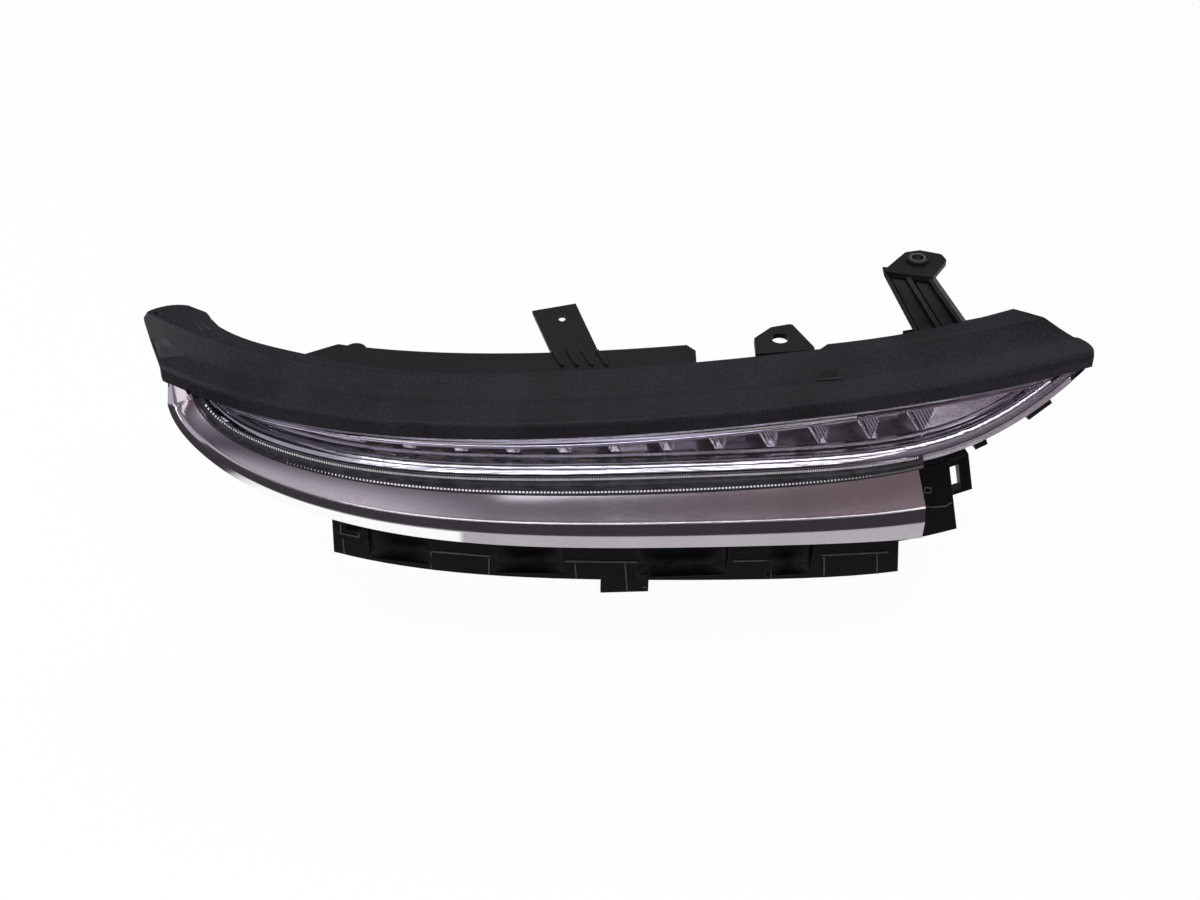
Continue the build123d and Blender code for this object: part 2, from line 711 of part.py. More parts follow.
with BuildPart() as shelf:
    add(shelf_plate)
    with BuildSketch(Plane.XY.offset(-SPAN)):
        for corner in SHELF_CORNERS:
            Polygon(*[behind(*place) for place in corner], align=None)
    extrude(amount=2 * SPAN, mode=Mode.SUBTRACT)
    with BuildSketch(Plane(origin=(*behind(*SHELF_BOSS), edge_height(SHELF_BOSS[0]) + SHELF_TOP))):
        Circle(SHELF_BOSS_RADIUS)
    extrude(amount=-2 * SHELF_WALL)
    for x in steps(SHELF_LEFT + 2 * RIB_WALL, SHELF_RIGHT - 2 * RIB_WALL, GUSSETS):
        with BuildSketch(station(x)):
            under = SHELF_TOP - SHELF_WALL / 2
            Polygon((RIB_DEPTH, 0), (SHELF_CORNERS[0][0][1], under), (RIB_DEPTH, under), align=None)
        extrude(amount=GUSSET_WALL / 2, both=True)

# Centre tab and its low ribs on the shelf
with BuildPart() as tab:
    with BuildSketch(tab_plane):
        left, right = -TAB_SIDE, TAB_WIDTH - TAB_SIDE
        end_slope = SKEW * TAB_WIDTH / 4
        root = -TAB_RISE - 2 * SHELF_WALL
        Polygon(
            tab_edge(left, root),
            tab_edge(right, root),
            tab_edge(right, TAB_END + end_slope),
            tab_edge(left, TAB_END - end_slope),
            align=None,
        )
        Circle(TAB_HOLE_RADIUS, mode=Mode.SUBTRACT)
    extrude(amount=-TAB_WALL)
    with BuildSketch(Plane(origin=tab_foot).offset(-SHELF_WALL / 2)):
        for place in steps(left, right - TAB_RIB_WALL, TAB_RIBS):
            near = place + SKEW * (TAB_RISE + TAB_RIB_LENGTH)
            far = place + SKEW * TAB_RISE
            Polygon(
                (far, 0),
                (far + TAB_RIB_WALL, 0),
                (near + TAB_RIB_WALL, -TAB_RIB_LENGTH),
                (near, -TAB_RIB_LENGTH),
                align=None,
            )
    extrude(amount=TAB_RIB_HEIGHT + SHELF_WALL / 2)

# Lug on its riser
with BuildPart() as lug:
    with BuildSketch(Plane.XY.offset(lug_z)):
        with Locations(LUG_HOLE):
            lug_plate = Polygon(*LUG_OUTLINE, align=None)
            Circle(LUG_HOLE_RADIUS, mode=Mode.SUBTRACT)
        fillet(lug_plate.vertices().sort_by(Axis.Y)[2:], LUG_ROUND)
    extrude(amount=-LUG_WALL)
    with BuildSketch(Plane.XY.offset(lug_z - LUG_WALL / 2)):
        (x0, y0), (x1, y1) = lug_front
        Polygon((x0, y0), (x1, y1), (x1, y1 + LUG_WALL), (x0, y0 + LUG_WALL), align=None)
    extrude(amount=pad_middle - LUG_LIFT + LUG_WALL / 2)

# Rear arm, its top plate and boss
with BuildPart() as arm:
    for foot, head, near, far in arm_webs:
        ends = [arm_quad(arm_foot_z, foot, near, far), arm_quad(ARM_TOP - ARM_WALL / 2, head, near, far)]
        loft(ends, ruled=True)
    with BuildSketch(Plane.XY.offset(ARM_TOP)):
        with Locations(ARM_HOLE):
            arm_plate = Polygon(*ARM_PLATE, align=None)
        fillet(arm_plate.vertices(), ARM_ROUND)
    extrude(amount=-ARM_WALL)
    with BuildSketch(Plane.XY.offset(ARM_TOP + BOSS_RISE)):
        with Locations(ARM_HOLE):
            Circle(BOSS_RADIUS)
    extrude(amount=-BUSH_LENGTH)
    with BuildSketch(Plane.XY.offset(ARM_TOP + BOSS_RISE)):
        with Locations(ARM_HOLE):
            Circle(BUSH_RADIUS + PRESS_GAP)
    extrude(amount=-BUSH_LENGTH, mode=Mode.SUBTRACT)

# Socket shroud and breather nipples on the back
with BuildPart() as rear_fittings:
    with BuildSketch(rearward(SOCKET_X, socket_z, TUB_FLOOR - TUB_WALL)):
        Rectangle(SOCKET_SIZE[0] + 2 * SOCKET_WALL, SOCKET_SIZE[1] + 2 * SOCKET_WALL)
    extrude(amount=socket_floor + SOCKET_DEPTH - TUB_FLOOR + TUB_WALL)
    with BuildSketch(rearward(SOCKET_X, socket_z, socket_floor)):
        Rectangle(*SOCKET_SIZE)
    extrude(amount=SOCKET_DEPTH, mode=Mode.SUBTRACT)
    for x in BREATHERS:
        with BuildSketch(rearward(x, middle(x), TUB_FLOOR)):
            Circle(NIPPLE_RADIUS)
        extrude(amount=TUB_WALL + NIPPLE_LENGTH)
    add(tub_inside.part, mode=Mode.SUBTRACT)

# Bosses and posts inside the tub
with BuildPart() as inside_fittings:
    add([board_bosses, reflector_bosses[0], nose_boss.part])
    for seat in bracket_seats:
        with BuildSketch(seat.offset(-BRACKET_WALL - BRACKET_GAP - TUB_WALL / 2)):
            Circle(boss_radius)
        extrude(amount=-SEAT_BOSS - TUB_WALL / 2)
    with BuildSketch(driver_plane.offset(-PRESS_GAP)):
        with Locations((-driver_reach, 0), (driver_reach, 0)):
            Circle(DRIVER_POST_RADIUS)
    extrude(amount=-DRIVER_POST - TUB_WALL / 2)

# Holes for the pins and the breathers
with BuildPart() as rear_holes:
    with BuildSketch(rearward(SOCKET_X, socket_z, TUB_FLOOR - PIN_REACH)):
        with Locations(*pin_places):
            Rectangle(PIN_SIZE + 2 * PRESS_GAP, PIN_SIZE + 2 * PRESS_GAP)
    extrude(amount=socket_floor - TUB_FLOOR + 2 * PIN_REACH)
    for x in BREATHERS:
        with BuildSketch(rearward(x, middle(x), TUB_FLOOR - 2 * TUB_WALL)):
            Circle(NIPPLE_RADIUS / 2)
        extrude(amount=4 * TUB_WALL + NIPPLE_LENGTH)

with BuildPart() as housing:
    add(tub_rim)
    add(groove, mode=Mode.SUBTRACT)
    add(tub_outside.part)
    add(tub_inside.part, mode=Mode.SUBTRACT)
    for fitting in (*rails, shelf.part, tab.part, lug.part, arm.part, *rim_lugs, rear_fittings.part):
        add(fitting)
    add(inside_fittings.part)
    add([housing_drills, rear_holes.part], mode=Mode.SUBTRACT)

# Bush pressed into the arm's boss
with BuildPart() as arm_bush:
    with BuildSketch(Plane.XY.offset(ARM_TOP + BOSS_RISE)):
        with Locations(ARM_HOLE):
            Circle(BUSH_RADIUS)
            Circle(BUSH_BORE, mode=Mode.SUBTRACT)
    extrude(amount=-BUSH_LENGTH)

# Socket pins
with BuildPart() as socket_pins:
    with BuildSketch(rearward(SOCKET_X, socket_z, TUB_FLOOR - PIN_REACH / 2)):
        with Locations(*pin_places):
            Rectangle(PIN_SIZE, PIN_SIZE)
    extrude(amount=socket_floor - TUB_FLOOR + 1.5 * PIN_REACH)

# Breather caps over the nipples
cap_start = TUB_DEPTH + FRONT_LEAN * (NIPPLE_RADIUS + CAP_WALL) + 2 * CAP_GAP
cap_end = TUB_DEPTH + NIPPLE_LENGTH + CAP_GAP
with BuildPart() as breather_caps:
    for x in BREATHERS:
        with BuildSketch(rearward(x, middle(x), cap_start)):
            Circle(NIPPLE_RADIUS + CAP_GAP + CAP_WALL)
        extrude(amount=cap_end + CAP_WALL - cap_start)
        with BuildSketch(rearward(x, middle(x), cap_start)):
            Circle(NIPPLE_RADIUS + CAP_GAP)
        extrude(amount=cap_end - cap_start, mode=Mode.SUBTRACT)


# Top cover: one folded wall along the lamp, cut to its plan
def cover_path(x):
    """The cover's outer face across the lamp at X: it comes down towards the nose."""
    share = max(0, (x - NOSE_START) / (COVER_RIGHT - NOSE_START))
    valley = VALLEY[1] + (NOSE_VALLEY - VALLEY[1]) * share**2
    crest = CREST[1] + (NOSE_CREST - CREST[1]) * share**2
    return [(LIP_FRONT, LIP_GAP), BROW, (VALLEY[0], valley), (CREST[0], crest), (COVER_REACH, crest)]


cover_stations = steps(COVER_LEFT, COVER_RIGHT, COVER_SECTIONS)
cover_sections = [
    wall_section(station(x), cover_path(x), COVER_ROUNDS, COVER_WALL, Side.RIGHT) for x in cover_stations
]
with BuildPart() as top_cover:
    loft(cover_sections)
    with BuildSketch(Plane.XY.offset(-SPAN)):
        with BuildLine():
            ear = [Vector(*behind(*place)) for place in EAR]
            corner = ear[0] + (ear[0] - ear[1]) * 2
            back_left = [behind(*place) for place in COVER_BACK_LEFT]
            back_right = [behind(*place) for place in COVER_BACK_RIGHT]
            nose = [behind(*place) for place in NOSE]
            Polyline(corner, ear[1])
            ThreePointArc(ear[1], ear[2], ear[3])
            Line(ear[3], back_left[0])
            Spline(*back_left)
            Line(back_left[-1], back_right[0])
            Spline(*back_right)
            Line(back_right[-1], nose[0])
            ThreePointArc(*nose)
            Polyline(nose[-1], (nose[-1][0], -FAR), (corner.X, -FAR), corner)
        make_face()
    extrude(amount=2 * SPAN, mode=Mode.INTERSECT)
    for seat in cover_seats:
        with BuildSketch(seat.offset(-SHELF_WALL - STACK_GAP)):
            Circle(COVER_BOSS_RADIUS)
        extrude(amount=LEDGE_TOP + STACK_GAP - CREST[1] + COVER_WALL)
        with BuildSketch(seat):
            Circle(SCREW_RADIUS + SCREW_GAP)
        extrude(amount=-SCREW_LENGTH - PRESS_GAP, mode=Mode.SUBTRACT)
    with BuildSketch(Plane.XY.offset(SPAN)):
        with Locations(behind(*EAR_HOLE)):
            Circle(EAR_HOLE_RADIUS)
    extrude(amount=-2 * SPAN, mode=Mode.SUBTRACT)

# Trim strip
TRIM_LAST = lower_share(TRIM_RIGHT + TRIM_SPARE, TRIM_OUT)


def trim_folds(share):
    """Widths of the trim at its crease, its shade and its lower edge, and the crease's depth."""
    u = (share - TRIM_START) / (TRIM_LAST - TRIM_START)
    return [bernstein(values, u) for values in (CREASE_WIDTHS, SHADE_WIDTHS, TRIM_WIDTHS, CREASE_DEPTHS)]


trim_sections = []
for share in steps(TRIM_START, TRIM_LAST, TRIM_SECTIONS):
    crease, shade, width, depth = trim_folds(share)
    folds = [
        (0, TRIM_RETURN),
        (0, 0),
        (crease, depth),
        (shade, depth - TRIM_BULGE),
        (width, depth + TRIM_BULGE),
    ]
    across = lower_station(share, TRIM_OUT)
    radii = [TRIM_WALL + bend for bend in TRIM_BENDS]
    trim_sections.append(wall_section(across, folds, radii, TRIM_WALL, Side.LEFT))
trim_end = Plane(origin=course_plane(TRIM_RIGHT).origin, z_dir=(1, TRIM_END_SKEW, 0))
lip_slope = edge_height(LENS_LEFT + 0.5) - edge_height(LENS_LEFT - 0.5)
lip_plane = Plane(origin=(LENS_LEFT, 0, edge_height(LENS_LEFT) - TRIM_TOP_GAP), z_dir=(-lip_slope, 0, 1))
with BuildPart() as trim:
    loft(trim_sections)
    split(bisect_by=trim_end, keep=Keep.BOTTOM)
    split(bisect_by=lip_plane, keep=Keep.BOTTOM)

# Lower bracket: seat under the tub, sloping web and a wall with pockets and panels
def bracket_front(x):
    """Width of the trim and depth of the bracket's front at X."""
    _, _, width, depth = trim_folds(lower_share(x, TRIM_OUT))
    return width, depth + TRIM_BULGE + TRIM_WALL + BRACKET_GAP


def bracket_section(x):
    """The bracket across the lamp at X."""
    width, near = bracket_front(x)
    top, web = SEAT_TOP, RIM_BACK + WEB_CLEAR
    with BuildSketch(lower_station(lower_share(x, TRIM_OUT), TRIM_OUT)) as section:
        Polygon(
            (top, web),
            (WEB_DROP, web),
            (width - BLOCK_HIDDEN, near),
            (width + BLOCK_DROP, near),
            (width + BLOCK_DROP, near + BLOCK_DEPTH),
            (width - BLOCK_HIDDEN + BRACKET_WALL, near + BLOCK_DEPTH),
            (WEB_DROP + BRACKET_WALL, web + BRACKET_WALL),
            (top + BRACKET_WALL, web + BRACKET_WALL),
            (top + BRACKET_WALL, SEAT_BACK),
            (top, SEAT_BACK),
            align=None,
        )
    return section.sketch


def hollow(ends, widths, depths):
    """A block to cut from the bracket's wall between two places along the lamp."""
    x = sum(ends) / 2
    width, near = bracket_front(x)
    reach = (ends[1] - ends[0]) / 2
    return block(course_plane(x), [width + w for w in widths], [near + d for d in depths], (-reach, reach))


pocket_widths = (BRACKET_WALL - BLOCK_HIDDEN, BLOCK_DROP - BRACKET_WALL)
pocket_depths = (-BLOCK_DEPTH, BLOCK_DEPTH - BRACKET_WALL)
panel_widths = (BLOCK_HIDDEN, BLOCK_DROP - BRACKET_WALL)
panel_depths = (BRACKET_WALL, 2 * BLOCK_DEPTH)
hollows = [hollow(ends, pocket_widths, pocket_depths) for ends in POCKETS]
hollows += [hollow(ends, panel_widths, panel_depths) for ends in PANELS]
hollows.append(hollow(WINDOW, (pocket_widths[0], WINDOW_DROP), pocket_depths))
hang_tab = hollow(HANG_TAB, (BLOCK_DROP - BRACKET_WALL, BLOCK_DROP + HANG_DROP), (0, BRACKET_WALL))


def end_section(x):
    """The bracket's end block across the lamp at X."""
    with BuildSketch(lower_station(lower_share(x, TRIM_OUT), TRIM_OUT)) as section:
        with Locations(((WEB_DROP + END_DROP) / 2, END_FRONT + END_DEPTH / 2)):
            Rectangle(END_DROP - WEB_DROP, END_DEPTH)
    return section.sketch


end_plane = course_plane(END_RIGHT)
finger_length = FINGER_RIGHT - END_RIGHT
finger_depths = (END_FRONT + BRACKET_WALL / 2, END_FRONT + END_DEPTH - BRACKET_WALL / 2)
fingers = [
    block(end_plane, (WEB_DROP, WEB_DROP + FINGER_BAR), finger_depths, (-BRACKET_WALL, finger_length)),
    block(
        end_plane,
        (WEB_DROP, WEB_DROP + FINGER_DROP),
        finger_depths,
        (finger_length - FINGER_WIDTH, finger_length),
    ),
    block(
        end_plane,
        (WEB_DROP + FINGER_DROP - BRACKET_WALL, WEB_DROP + FINGER_DROP),
        finger_depths,
        (-BRACKET_WALL, finger_length),
    ),
]
bracket_sections = [bracket_section(x) for x in steps(BRACKET_LEFT, BRACKET_RIGHT, TRIM_SECTIONS)]
end_sections = [end_section(x) for x in steps(BRACKET_RIGHT - BRACKET_WALL, END_RIGHT, 3)]
bracket_drills = drills(bracket_seats, SCREW_LENGTH)
with BuildPart() as lower_bracket:
    loft(bracket_sections)
    add(hollows, mode=Mode.SUBTRACT)
    loft(end_sections)
    add([hang_tab, *fingers])
    add(bracket_drills, mode=Mode.SUBTRACT)


def screw_group(seats):
    """One screw on each seat."""
    with BuildPart() as group:
        for seat in seats:
            with BuildSketch(seat):
                Circle(SCREW_HEAD_RADIUS)
            extrude(amount=SCREW_HEAD)
            with BuildSketch(seat):
                Circle(SCREW_RADIUS)
            extrude(amount=-SCREW_LENGTH)
            with BuildSketch(seat.offset(SCREW_HEAD)):
                RegularPolygon(SCREW_RADIUS, 6)
            extrude(amount=-SCREW_HEAD / 2, mode=Mode.SUBTRACT)
    return group


pieces = {
    "rear_housing": housing,
    "outer_lens": outer_lens,
    "lens_seal": lens_seal,
    "inner_bezel": inner_bezel,
    "reflector": reflector,
    "led_board": led_board,
    "leds": leds,
    "thermal_pad": thermal_pad,
    "heat_spreader": heat_spreader,
    "driver_board": driver_board,
    "driver_parts": driver_parts,
    "socket_pins": socket_pins,
    "breather_caps": breather_caps,
    "arm_bush": arm_bush,
    "top_cover": top_cover,
    "trim_strip": trim,
    "lower_bracket": lower_bracket,
    "board_screws": screw_group(board_seats),
    "reflector_screws": screw_group(reflector_seats),
    "cover_screws": screw_group(cover_seats),
    "bracket_screws": screw_group(bracket_seats),
}

# Every piece is written with the middle of the tab's hole at the origin
os.makedirs("parts", exist_ok=True)
for name, piece in pieces.items():
    placed = piece.part.moved(Location(-TAB_HOLE))
    placed.label = name
    export_step(placed, f"parts/{name}.step")
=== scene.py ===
"""Looks of a car's daytime running light: finishes for every moulding, the serrated lens flange, the bright
fins and flutes behind the lens, and the small marks on the cover and the bracket."""

import math

import bpy
from mathutils import Euler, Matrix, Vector
from mathutils.bvhtree import BVHTree


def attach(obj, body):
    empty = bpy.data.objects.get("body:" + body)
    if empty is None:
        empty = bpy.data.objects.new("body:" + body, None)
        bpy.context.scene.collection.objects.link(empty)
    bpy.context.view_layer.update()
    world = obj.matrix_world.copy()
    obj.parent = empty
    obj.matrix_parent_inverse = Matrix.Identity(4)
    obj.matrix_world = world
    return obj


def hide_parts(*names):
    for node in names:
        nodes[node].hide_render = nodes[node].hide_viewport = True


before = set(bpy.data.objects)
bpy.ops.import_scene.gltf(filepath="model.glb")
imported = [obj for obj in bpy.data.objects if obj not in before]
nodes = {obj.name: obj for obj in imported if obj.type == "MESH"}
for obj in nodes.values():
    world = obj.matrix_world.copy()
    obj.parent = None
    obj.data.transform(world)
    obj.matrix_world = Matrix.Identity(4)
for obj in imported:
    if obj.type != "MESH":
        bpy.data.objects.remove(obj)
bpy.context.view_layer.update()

# The lamp's course in millimetres, measured from the middle of the lens
LENS_MIDDLE = Vector((0.0197, -0.0713314, -0.0311023))
COURSE_LEFT, COURSE_RIGHT = -250.0, 262.0
PLAN_DEPTHS = (74.5, -44.0, 12.0, 1.0, 44.5)
FRONT_LEAN = 0.30
LENS_LEFT, LENS_RIGHT = -204.5, 245.0
EDGE_HEIGHTS = (3.0, 7.5, 6.0, 17.8)
LOWER_EDGE = ((LENS_LEFT, 3.0), (-194.0, -40.0), (118.0, 22.0), (139.0, -60.0), (LENS_RIGHT, 17.8))
BEZEL_IN = -4.6
CELLS, CELL_LEFT, CELL_PITCH, CELL_SLANT = 11, -125.0, 26.0, 0.6

# The camera that took the picture
VIEW_TILT = 38.0
VIEW_LENS, VIEW_SENSOR = 60.0, 36.0
PICTURE = (1200, 900)
FLOOR_DROP = 0.150


def bernstein(controls, share):
    order = len(controls) - 1
    return sum(
        math.comb(order, place) * share**place * (1 - share) ** (order - place) * value
        for place, value in enumerate(controls)
    )


def edge_height(x):
    return bernstein(EDGE_HEIGHTS, (x - LENS_LEFT) / (LENS_RIGHT - LENS_LEFT))


def front(x, z):
    return bernstein(PLAN_DEPTHS, (x - COURSE_LEFT) / (COURSE_RIGHT - COURSE_LEFT)) + FRONT_LEAN * z


def at(x, z, depth):
    """A point a given depth behind the lens's front, in metres in the part's frame."""
    return LENS_MIDDLE + Vector((x, front(x, z) + depth, z)) / 1000


def lower_point(share, out):
    """A point beside the lens's lower edge, out millimetres outside it."""
    runs = [(b[0] - a[0], b[1] - a[1]) for a, b in zip(LOWER_EDGE, LOWER_EDGE[1:])]
    run_x = bernstein([run[0] for run in runs], share)
    run_z = bernstein([run[1] for run in runs], share)
    size = math.hypot(run_x, run_z)
    x = bernstein([point[0] for point in LOWER_EDGE], share)
    z = bernstein([point[1] for point in LOWER_EDGE], share)
    return x + out * run_z / size, z - out * run_x / size


def lower_share(x):
    low, high = 0.0, 1.0
    for _ in range(40):
        middle = (low + high) / 2
        if lower_point(middle, 0)[0] < x:
            low = middle
        else:
            high = middle
    return (low + high) / 2


class Shade:
    """One socket of a finish, with sums that add their own nodes."""

    def __init__(self, finish, socket):
        self.finish = finish
        self.socket = socket

    def output(self, name):
        return Shade(self.finish, self.socket.node.outputs[name])

    def worked(self, operation, first, second):
        return self.finish.node("ShaderNodeMath", {"operation": operation}, {0: first, 1: second})

    def __add__(self, other):
        return self.worked("ADD", self, other)

    def __radd__(self, other):
        return self.worked("ADD", other, self)

    def __sub__(self, other):
        return self.worked("SUBTRACT", self, other)

    def __rsub__(self, other):
        return self.worked("SUBTRACT", other, self)

    def __mul__(self, other):
        return self.worked("MULTIPLY", self, other)

    def __rmul__(self, other):
        return self.worked("MULTIPLY", other, self)


class Finish:
    """A material, built from nodes that all come from one method."""

    def __init__(self, name, tree=None):
        self.material = None
        if tree is None:
            self.material = bpy.data.materials.new(name)
            self.material.use_nodes = True
            tree = self.material.node_tree
        self.tree = tree
        self.tree.nodes.clear()

    def node(self, kind, settings=None, sockets=None, out=0):
        made = self.tree.nodes.new(kind)
        for key, value in (settings or {}).items():
            if key == "stops":
                ramp = made.color_ramp
                while len(ramp.elements) < len(value):
                    ramp.elements.new(1.0)
                for element, (place, colour) in zip(ramp.elements, value):
                    element.position = place
                    element.color = colour
            else:
                setattr(made, key, value)
        for key, value in (sockets or {}).items():
            if isinstance(value, Shade):
                self.tree.links.new(value.socket, made.inputs[key])
            else:
                made.inputs[key].default_value = value
        return Shade(self, made.outputs[out]) if len(made.outputs) else None

    def place(self, stretch=(1.0, 1.0, 1.0)):
        where = self.node("ShaderNodeTexCoord", out="Object")
        return self.node("ShaderNodeMapping", None, {"Vector": where, "Scale": stretch})

    def noise(self, where, scale, detail=3.0):
        return self.node("ShaderNodeTexNoise", None, {"Vector": where, "Scale": scale, "Detail": detail})

    def ramp(self, value, low, high):
        """Nought below low, one above high and a smooth rise between them."""
        return self.node(
            "ShaderNodeMapRange",
            {"interpolation_type": "SMOOTHSTEP"},
            {"Value": value, "From Min": low, "From Max": high},
        )

    def blend(self, mask, first, second):
        return self.node("ShaderNodeMix", {"data_type": "RGBA"}, {0: mask, 6: first, 7: second}, out=2)

    def worn_edges(self, radius):
        """One on sharp edges and nought on flat faces."""
        rounded = self.node("ShaderNodeBevel", {"samples": 4}, {"Radius": radius})
        flat = self.node("ShaderNodeNewGeometry", out="Normal")
        likeness = self.node(
            "ShaderNodeVectorMath", {"operation": "DOT_PRODUCT"}, {0: rounded, 1: flat}, out="Value"
        )
        return self.ramp(1 - likeness, 0.01, 0.16)

    def open_share(self, distance):
        """One on open faces and nought deep in a hollow."""
        return self.node(
            "ShaderNodeAmbientOcclusion", {"samples": 6, "only_local": True}, {"Distance": distance}, out="AO"
        )

    def bump(self, height, strength, distance):
        sockets = {"Height": height, "Strength": strength, "Distance": distance}
        return self.node("ShaderNodeBump", None, sockets)

    def principled(self, sockets):
        self.surface(self.node("ShaderNodeBsdfPrincipled", None, sockets))

    def surface(self, shader):
        self.node("ShaderNodeOutputMaterial", None, {"Surface": shader})


EDGE_WEAR_RADIUS = 0.0007
HOLLOW_REACH = 0.012


def moulded_plastic(name, dark, pale, worn, grain, relief, rough, wear, gloss=0.24, paler_patches=None):
    """Moulded plastic: a fine grain, faint clouding from the mould, rubbed edges and, when a tone is given, a
    paler tone in its hollows.
    """
    finish = Finish(name)
    where = finish.place()
    clouds = finish.noise(where, 26.0, 4.0)
    pores = finish.noise(where, grain, 2.0)
    rubs = finish.noise(where, 210.0, 5.0)
    edges = finish.worn_edges(EDGE_WEAR_RADIUS) * finish.ramp(rubs, 0.32, 0.62)
    tone = finish.blend(finish.ramp(clouds * 0.45 + pores * 0.55, 0.36, 0.64), dark, pale)
    # When a tone is given, paler where ambient occlusion finds a hollow
    if paler_patches:
        hollow = 1 - finish.ramp(finish.open_share(HOLLOW_REACH), 0.15, 0.75)
        tone = finish.blend(hollow * finish.ramp(rubs, 0.05, 0.55), tone, paler_patches)
    finish.principled(
        {
            "Base Color": finish.blend(edges * wear, tone, worn),
            "Roughness": pores * 0.16 + clouds * 0.10 + (rough - 0.13) - edges * 0.08,
            "Specular IOR Level": gloss,
            "Normal": finish.bump(pores, 0.55, relief),
        }
    )
    return finish.material


def bright_metal(name, dull, bright, rough, streak, strength, relief):
    """Metal or a metallised skin: fine streaks along the part, faint haze and small scuffs."""
    finish = Finish(name)
    lines = finish.noise(finish.place((0.06, 1.0, 1.0)), streak, 3.0)
    haze = finish.noise(finish.place(), 34.0, 4.0)
    scuffs = finish.ramp(finish.noise(finish.place(), 620.0, 2.0), 0.66, 0.78)
    finish.principled(
        {
            "Base Color": finish.blend(finish.ramp(lines * 0.6 + haze * 0.4, 0.34, 0.66), dull, bright),
            "Metallic": 1.0,
            "Roughness": lines * 0.06 + haze * 0.06 + (rough - 0.06) + scuffs * 0.05,
            "Normal": finish.bump(lines, strength, relief),
        }
    )
    return finish.material


# Where the strip's underside carries a painted highlight, in metres along the part, and how far down a face has
# to look for it
HIGHLIGHT_STARTS, HIGHLIGHT_STOPS = (-0.186, -0.178), (-0.053, -0.049)
UNDERSIDE = (-0.09, -0.03)


def satin_metal(name, dull, bright, painted_highlight, rough):
    """Satin plating: fine streaks along the strip, and a near-white painted highlight on its underside towards
    the left.
    """
    finish = Finish(name)
    lines = finish.noise(finish.place((0.06, 1.0, 1.0)), 2600.0, 3.0)
    haze = finish.noise(finish.place(), 34.0, 4.0)
    across = finish.node("ShaderNodeSeparateXYZ", None, {0: finish.place()}, out="X")
    looks = finish.node("ShaderNodeNewGeometry", out="Normal")
    fall = finish.node("ShaderNodeSeparateXYZ", None, {0: looks}, out="Z")
    left = finish.ramp(across, *HIGHLIGHT_STARTS) * (1 - finish.ramp(across, *HIGHLIGHT_STOPS))
    under = 1 - finish.ramp(fall, *UNDERSIDE)
    tone = finish.blend(finish.ramp(lines * 0.6 + haze * 0.4, 0.34, 0.66), dull, bright)
    finish.principled(
        {
            # Near-white base colour on the left underside: a painted highlight
            "Base Color": finish.blend(left * under, tone, painted_highlight),
            "Metallic": 1.0,
            "Roughness": lines * 0.06 + haze * 0.06 + (rough - 0.06),
            "Normal": finish.bump(lines, 0.02, 0.00002),
        }
    )
    return finish.material


def clear_lens(name):
    """Clear polycarbonate: gloss that grows towards the rim, with faint scuffs."""
    finish = Finish(name)
    scuffs = finish.ramp(finish.noise(finish.place(), 480.0, 4.0), 0.60, 0.80)
    ripple = finish.noise(finish.place((0.2, 1.0, 1.0)), 60.0, 2.0)
    through = finish.node("ShaderNodeBsdfTransparent", None, {"Color": (0.93, 0.92, 0.95, 1.0)})
    gloss = finish.node(
        "ShaderNodeBsdfPrincipled",
        None,
        {
            "Base Color": finish.blend(scuffs, (0.80, 0.80, 0.84, 1.0), (0.60, 0.59, 0.63, 1.0)),
            "Metallic": 1.0,
            "Roughness": scuffs * 0.12 + 0.03,
            "Normal": finish.bump(ripple, 0.06, 0.0004),
        },
    )
    share = finish.node("ShaderNodeFresnel", None, {"IOR": 1.45}) + scuffs * 0.012
    finish.surface(finish.node("ShaderNodeMixShader", None, {0: share, 1: through, 2: gloss}))
    return finish.material


def milky_flange(name, dark, pale, gloss=0.6, coat=0.35):
    """Frosted lens plastic: a tint with fine lines along it under a glossy skin; in near white it also serves as
    painted glints.
    """
    finish = Finish(name)
    lines = finish.noise(finish.place((0.08, 1.0, 1.0)), 1100.0, 2.0)
    clouds = finish.noise(finish.place(), 90.0, 3.0)
    finish.principled(
        {
            "Base Color": finish.blend(finish.ramp(lines * 0.5 + clouds * 0.5, 0.38, 0.62), dark, pale),
            "Roughness": lines * 0.10 + 0.16,
            "Specular IOR Level": gloss,
            "Coat Weight": coat,
            "Coat Roughness": 0.05,
            "Normal": finish.bump(lines, 0.15, 0.0002),
        }
    )
    return finish.material


def soft_rubber(name, dark, pale, rough):
    """Matt rubber: a fine skin with a little dust on it."""
    finish = Finish(name)
    where = finish.place()
    paler_patches = finish.noise(where, 70.0, 5.0)
    skin = finish.noise(where, 1500.0, 2.0)
    finish.principled(
        {
            "Base Color": finish.blend(finish.ramp(paler_patches, 0.40, 0.75), dark, pale),
            "Roughness": skin * 0.16 + (rough - 0.08),
            "Specular IOR Level": 0.3,
            "Normal": finish.bump(skin, 0.5, 0.0001),
        }
    )
    return finish.material


def circuit_board(name, resist, tracks, rough):
    """Solder resist over tracks: raised runs that show as a paler tint."""
    finish = Finish(name)
    weave = finish.node(
        "ShaderNodeTexVoronoi",
        {"feature": "DISTANCE_TO_EDGE"},
        {"Vector": finish.place(), "Scale": 190.0},
        out="Distance",
    )
    runs = 1 - finish.ramp(weave, 0.05, 0.09)
    speckle = finish.noise(finish.place(), 800.0, 2.0)
    finish.principled(
        {
            "Base Color": finish.blend(runs, resist, tracks),
            "Roughness": speckle * 0.14 + (rough - 0.07),
            "Coat Weight": speckle * 0.2 + 0.2,
            "Coat Roughness": 0.15,
            "Normal": finish.bump(runs, 0.4, 0.00004),
        }
    )
    return finish.material


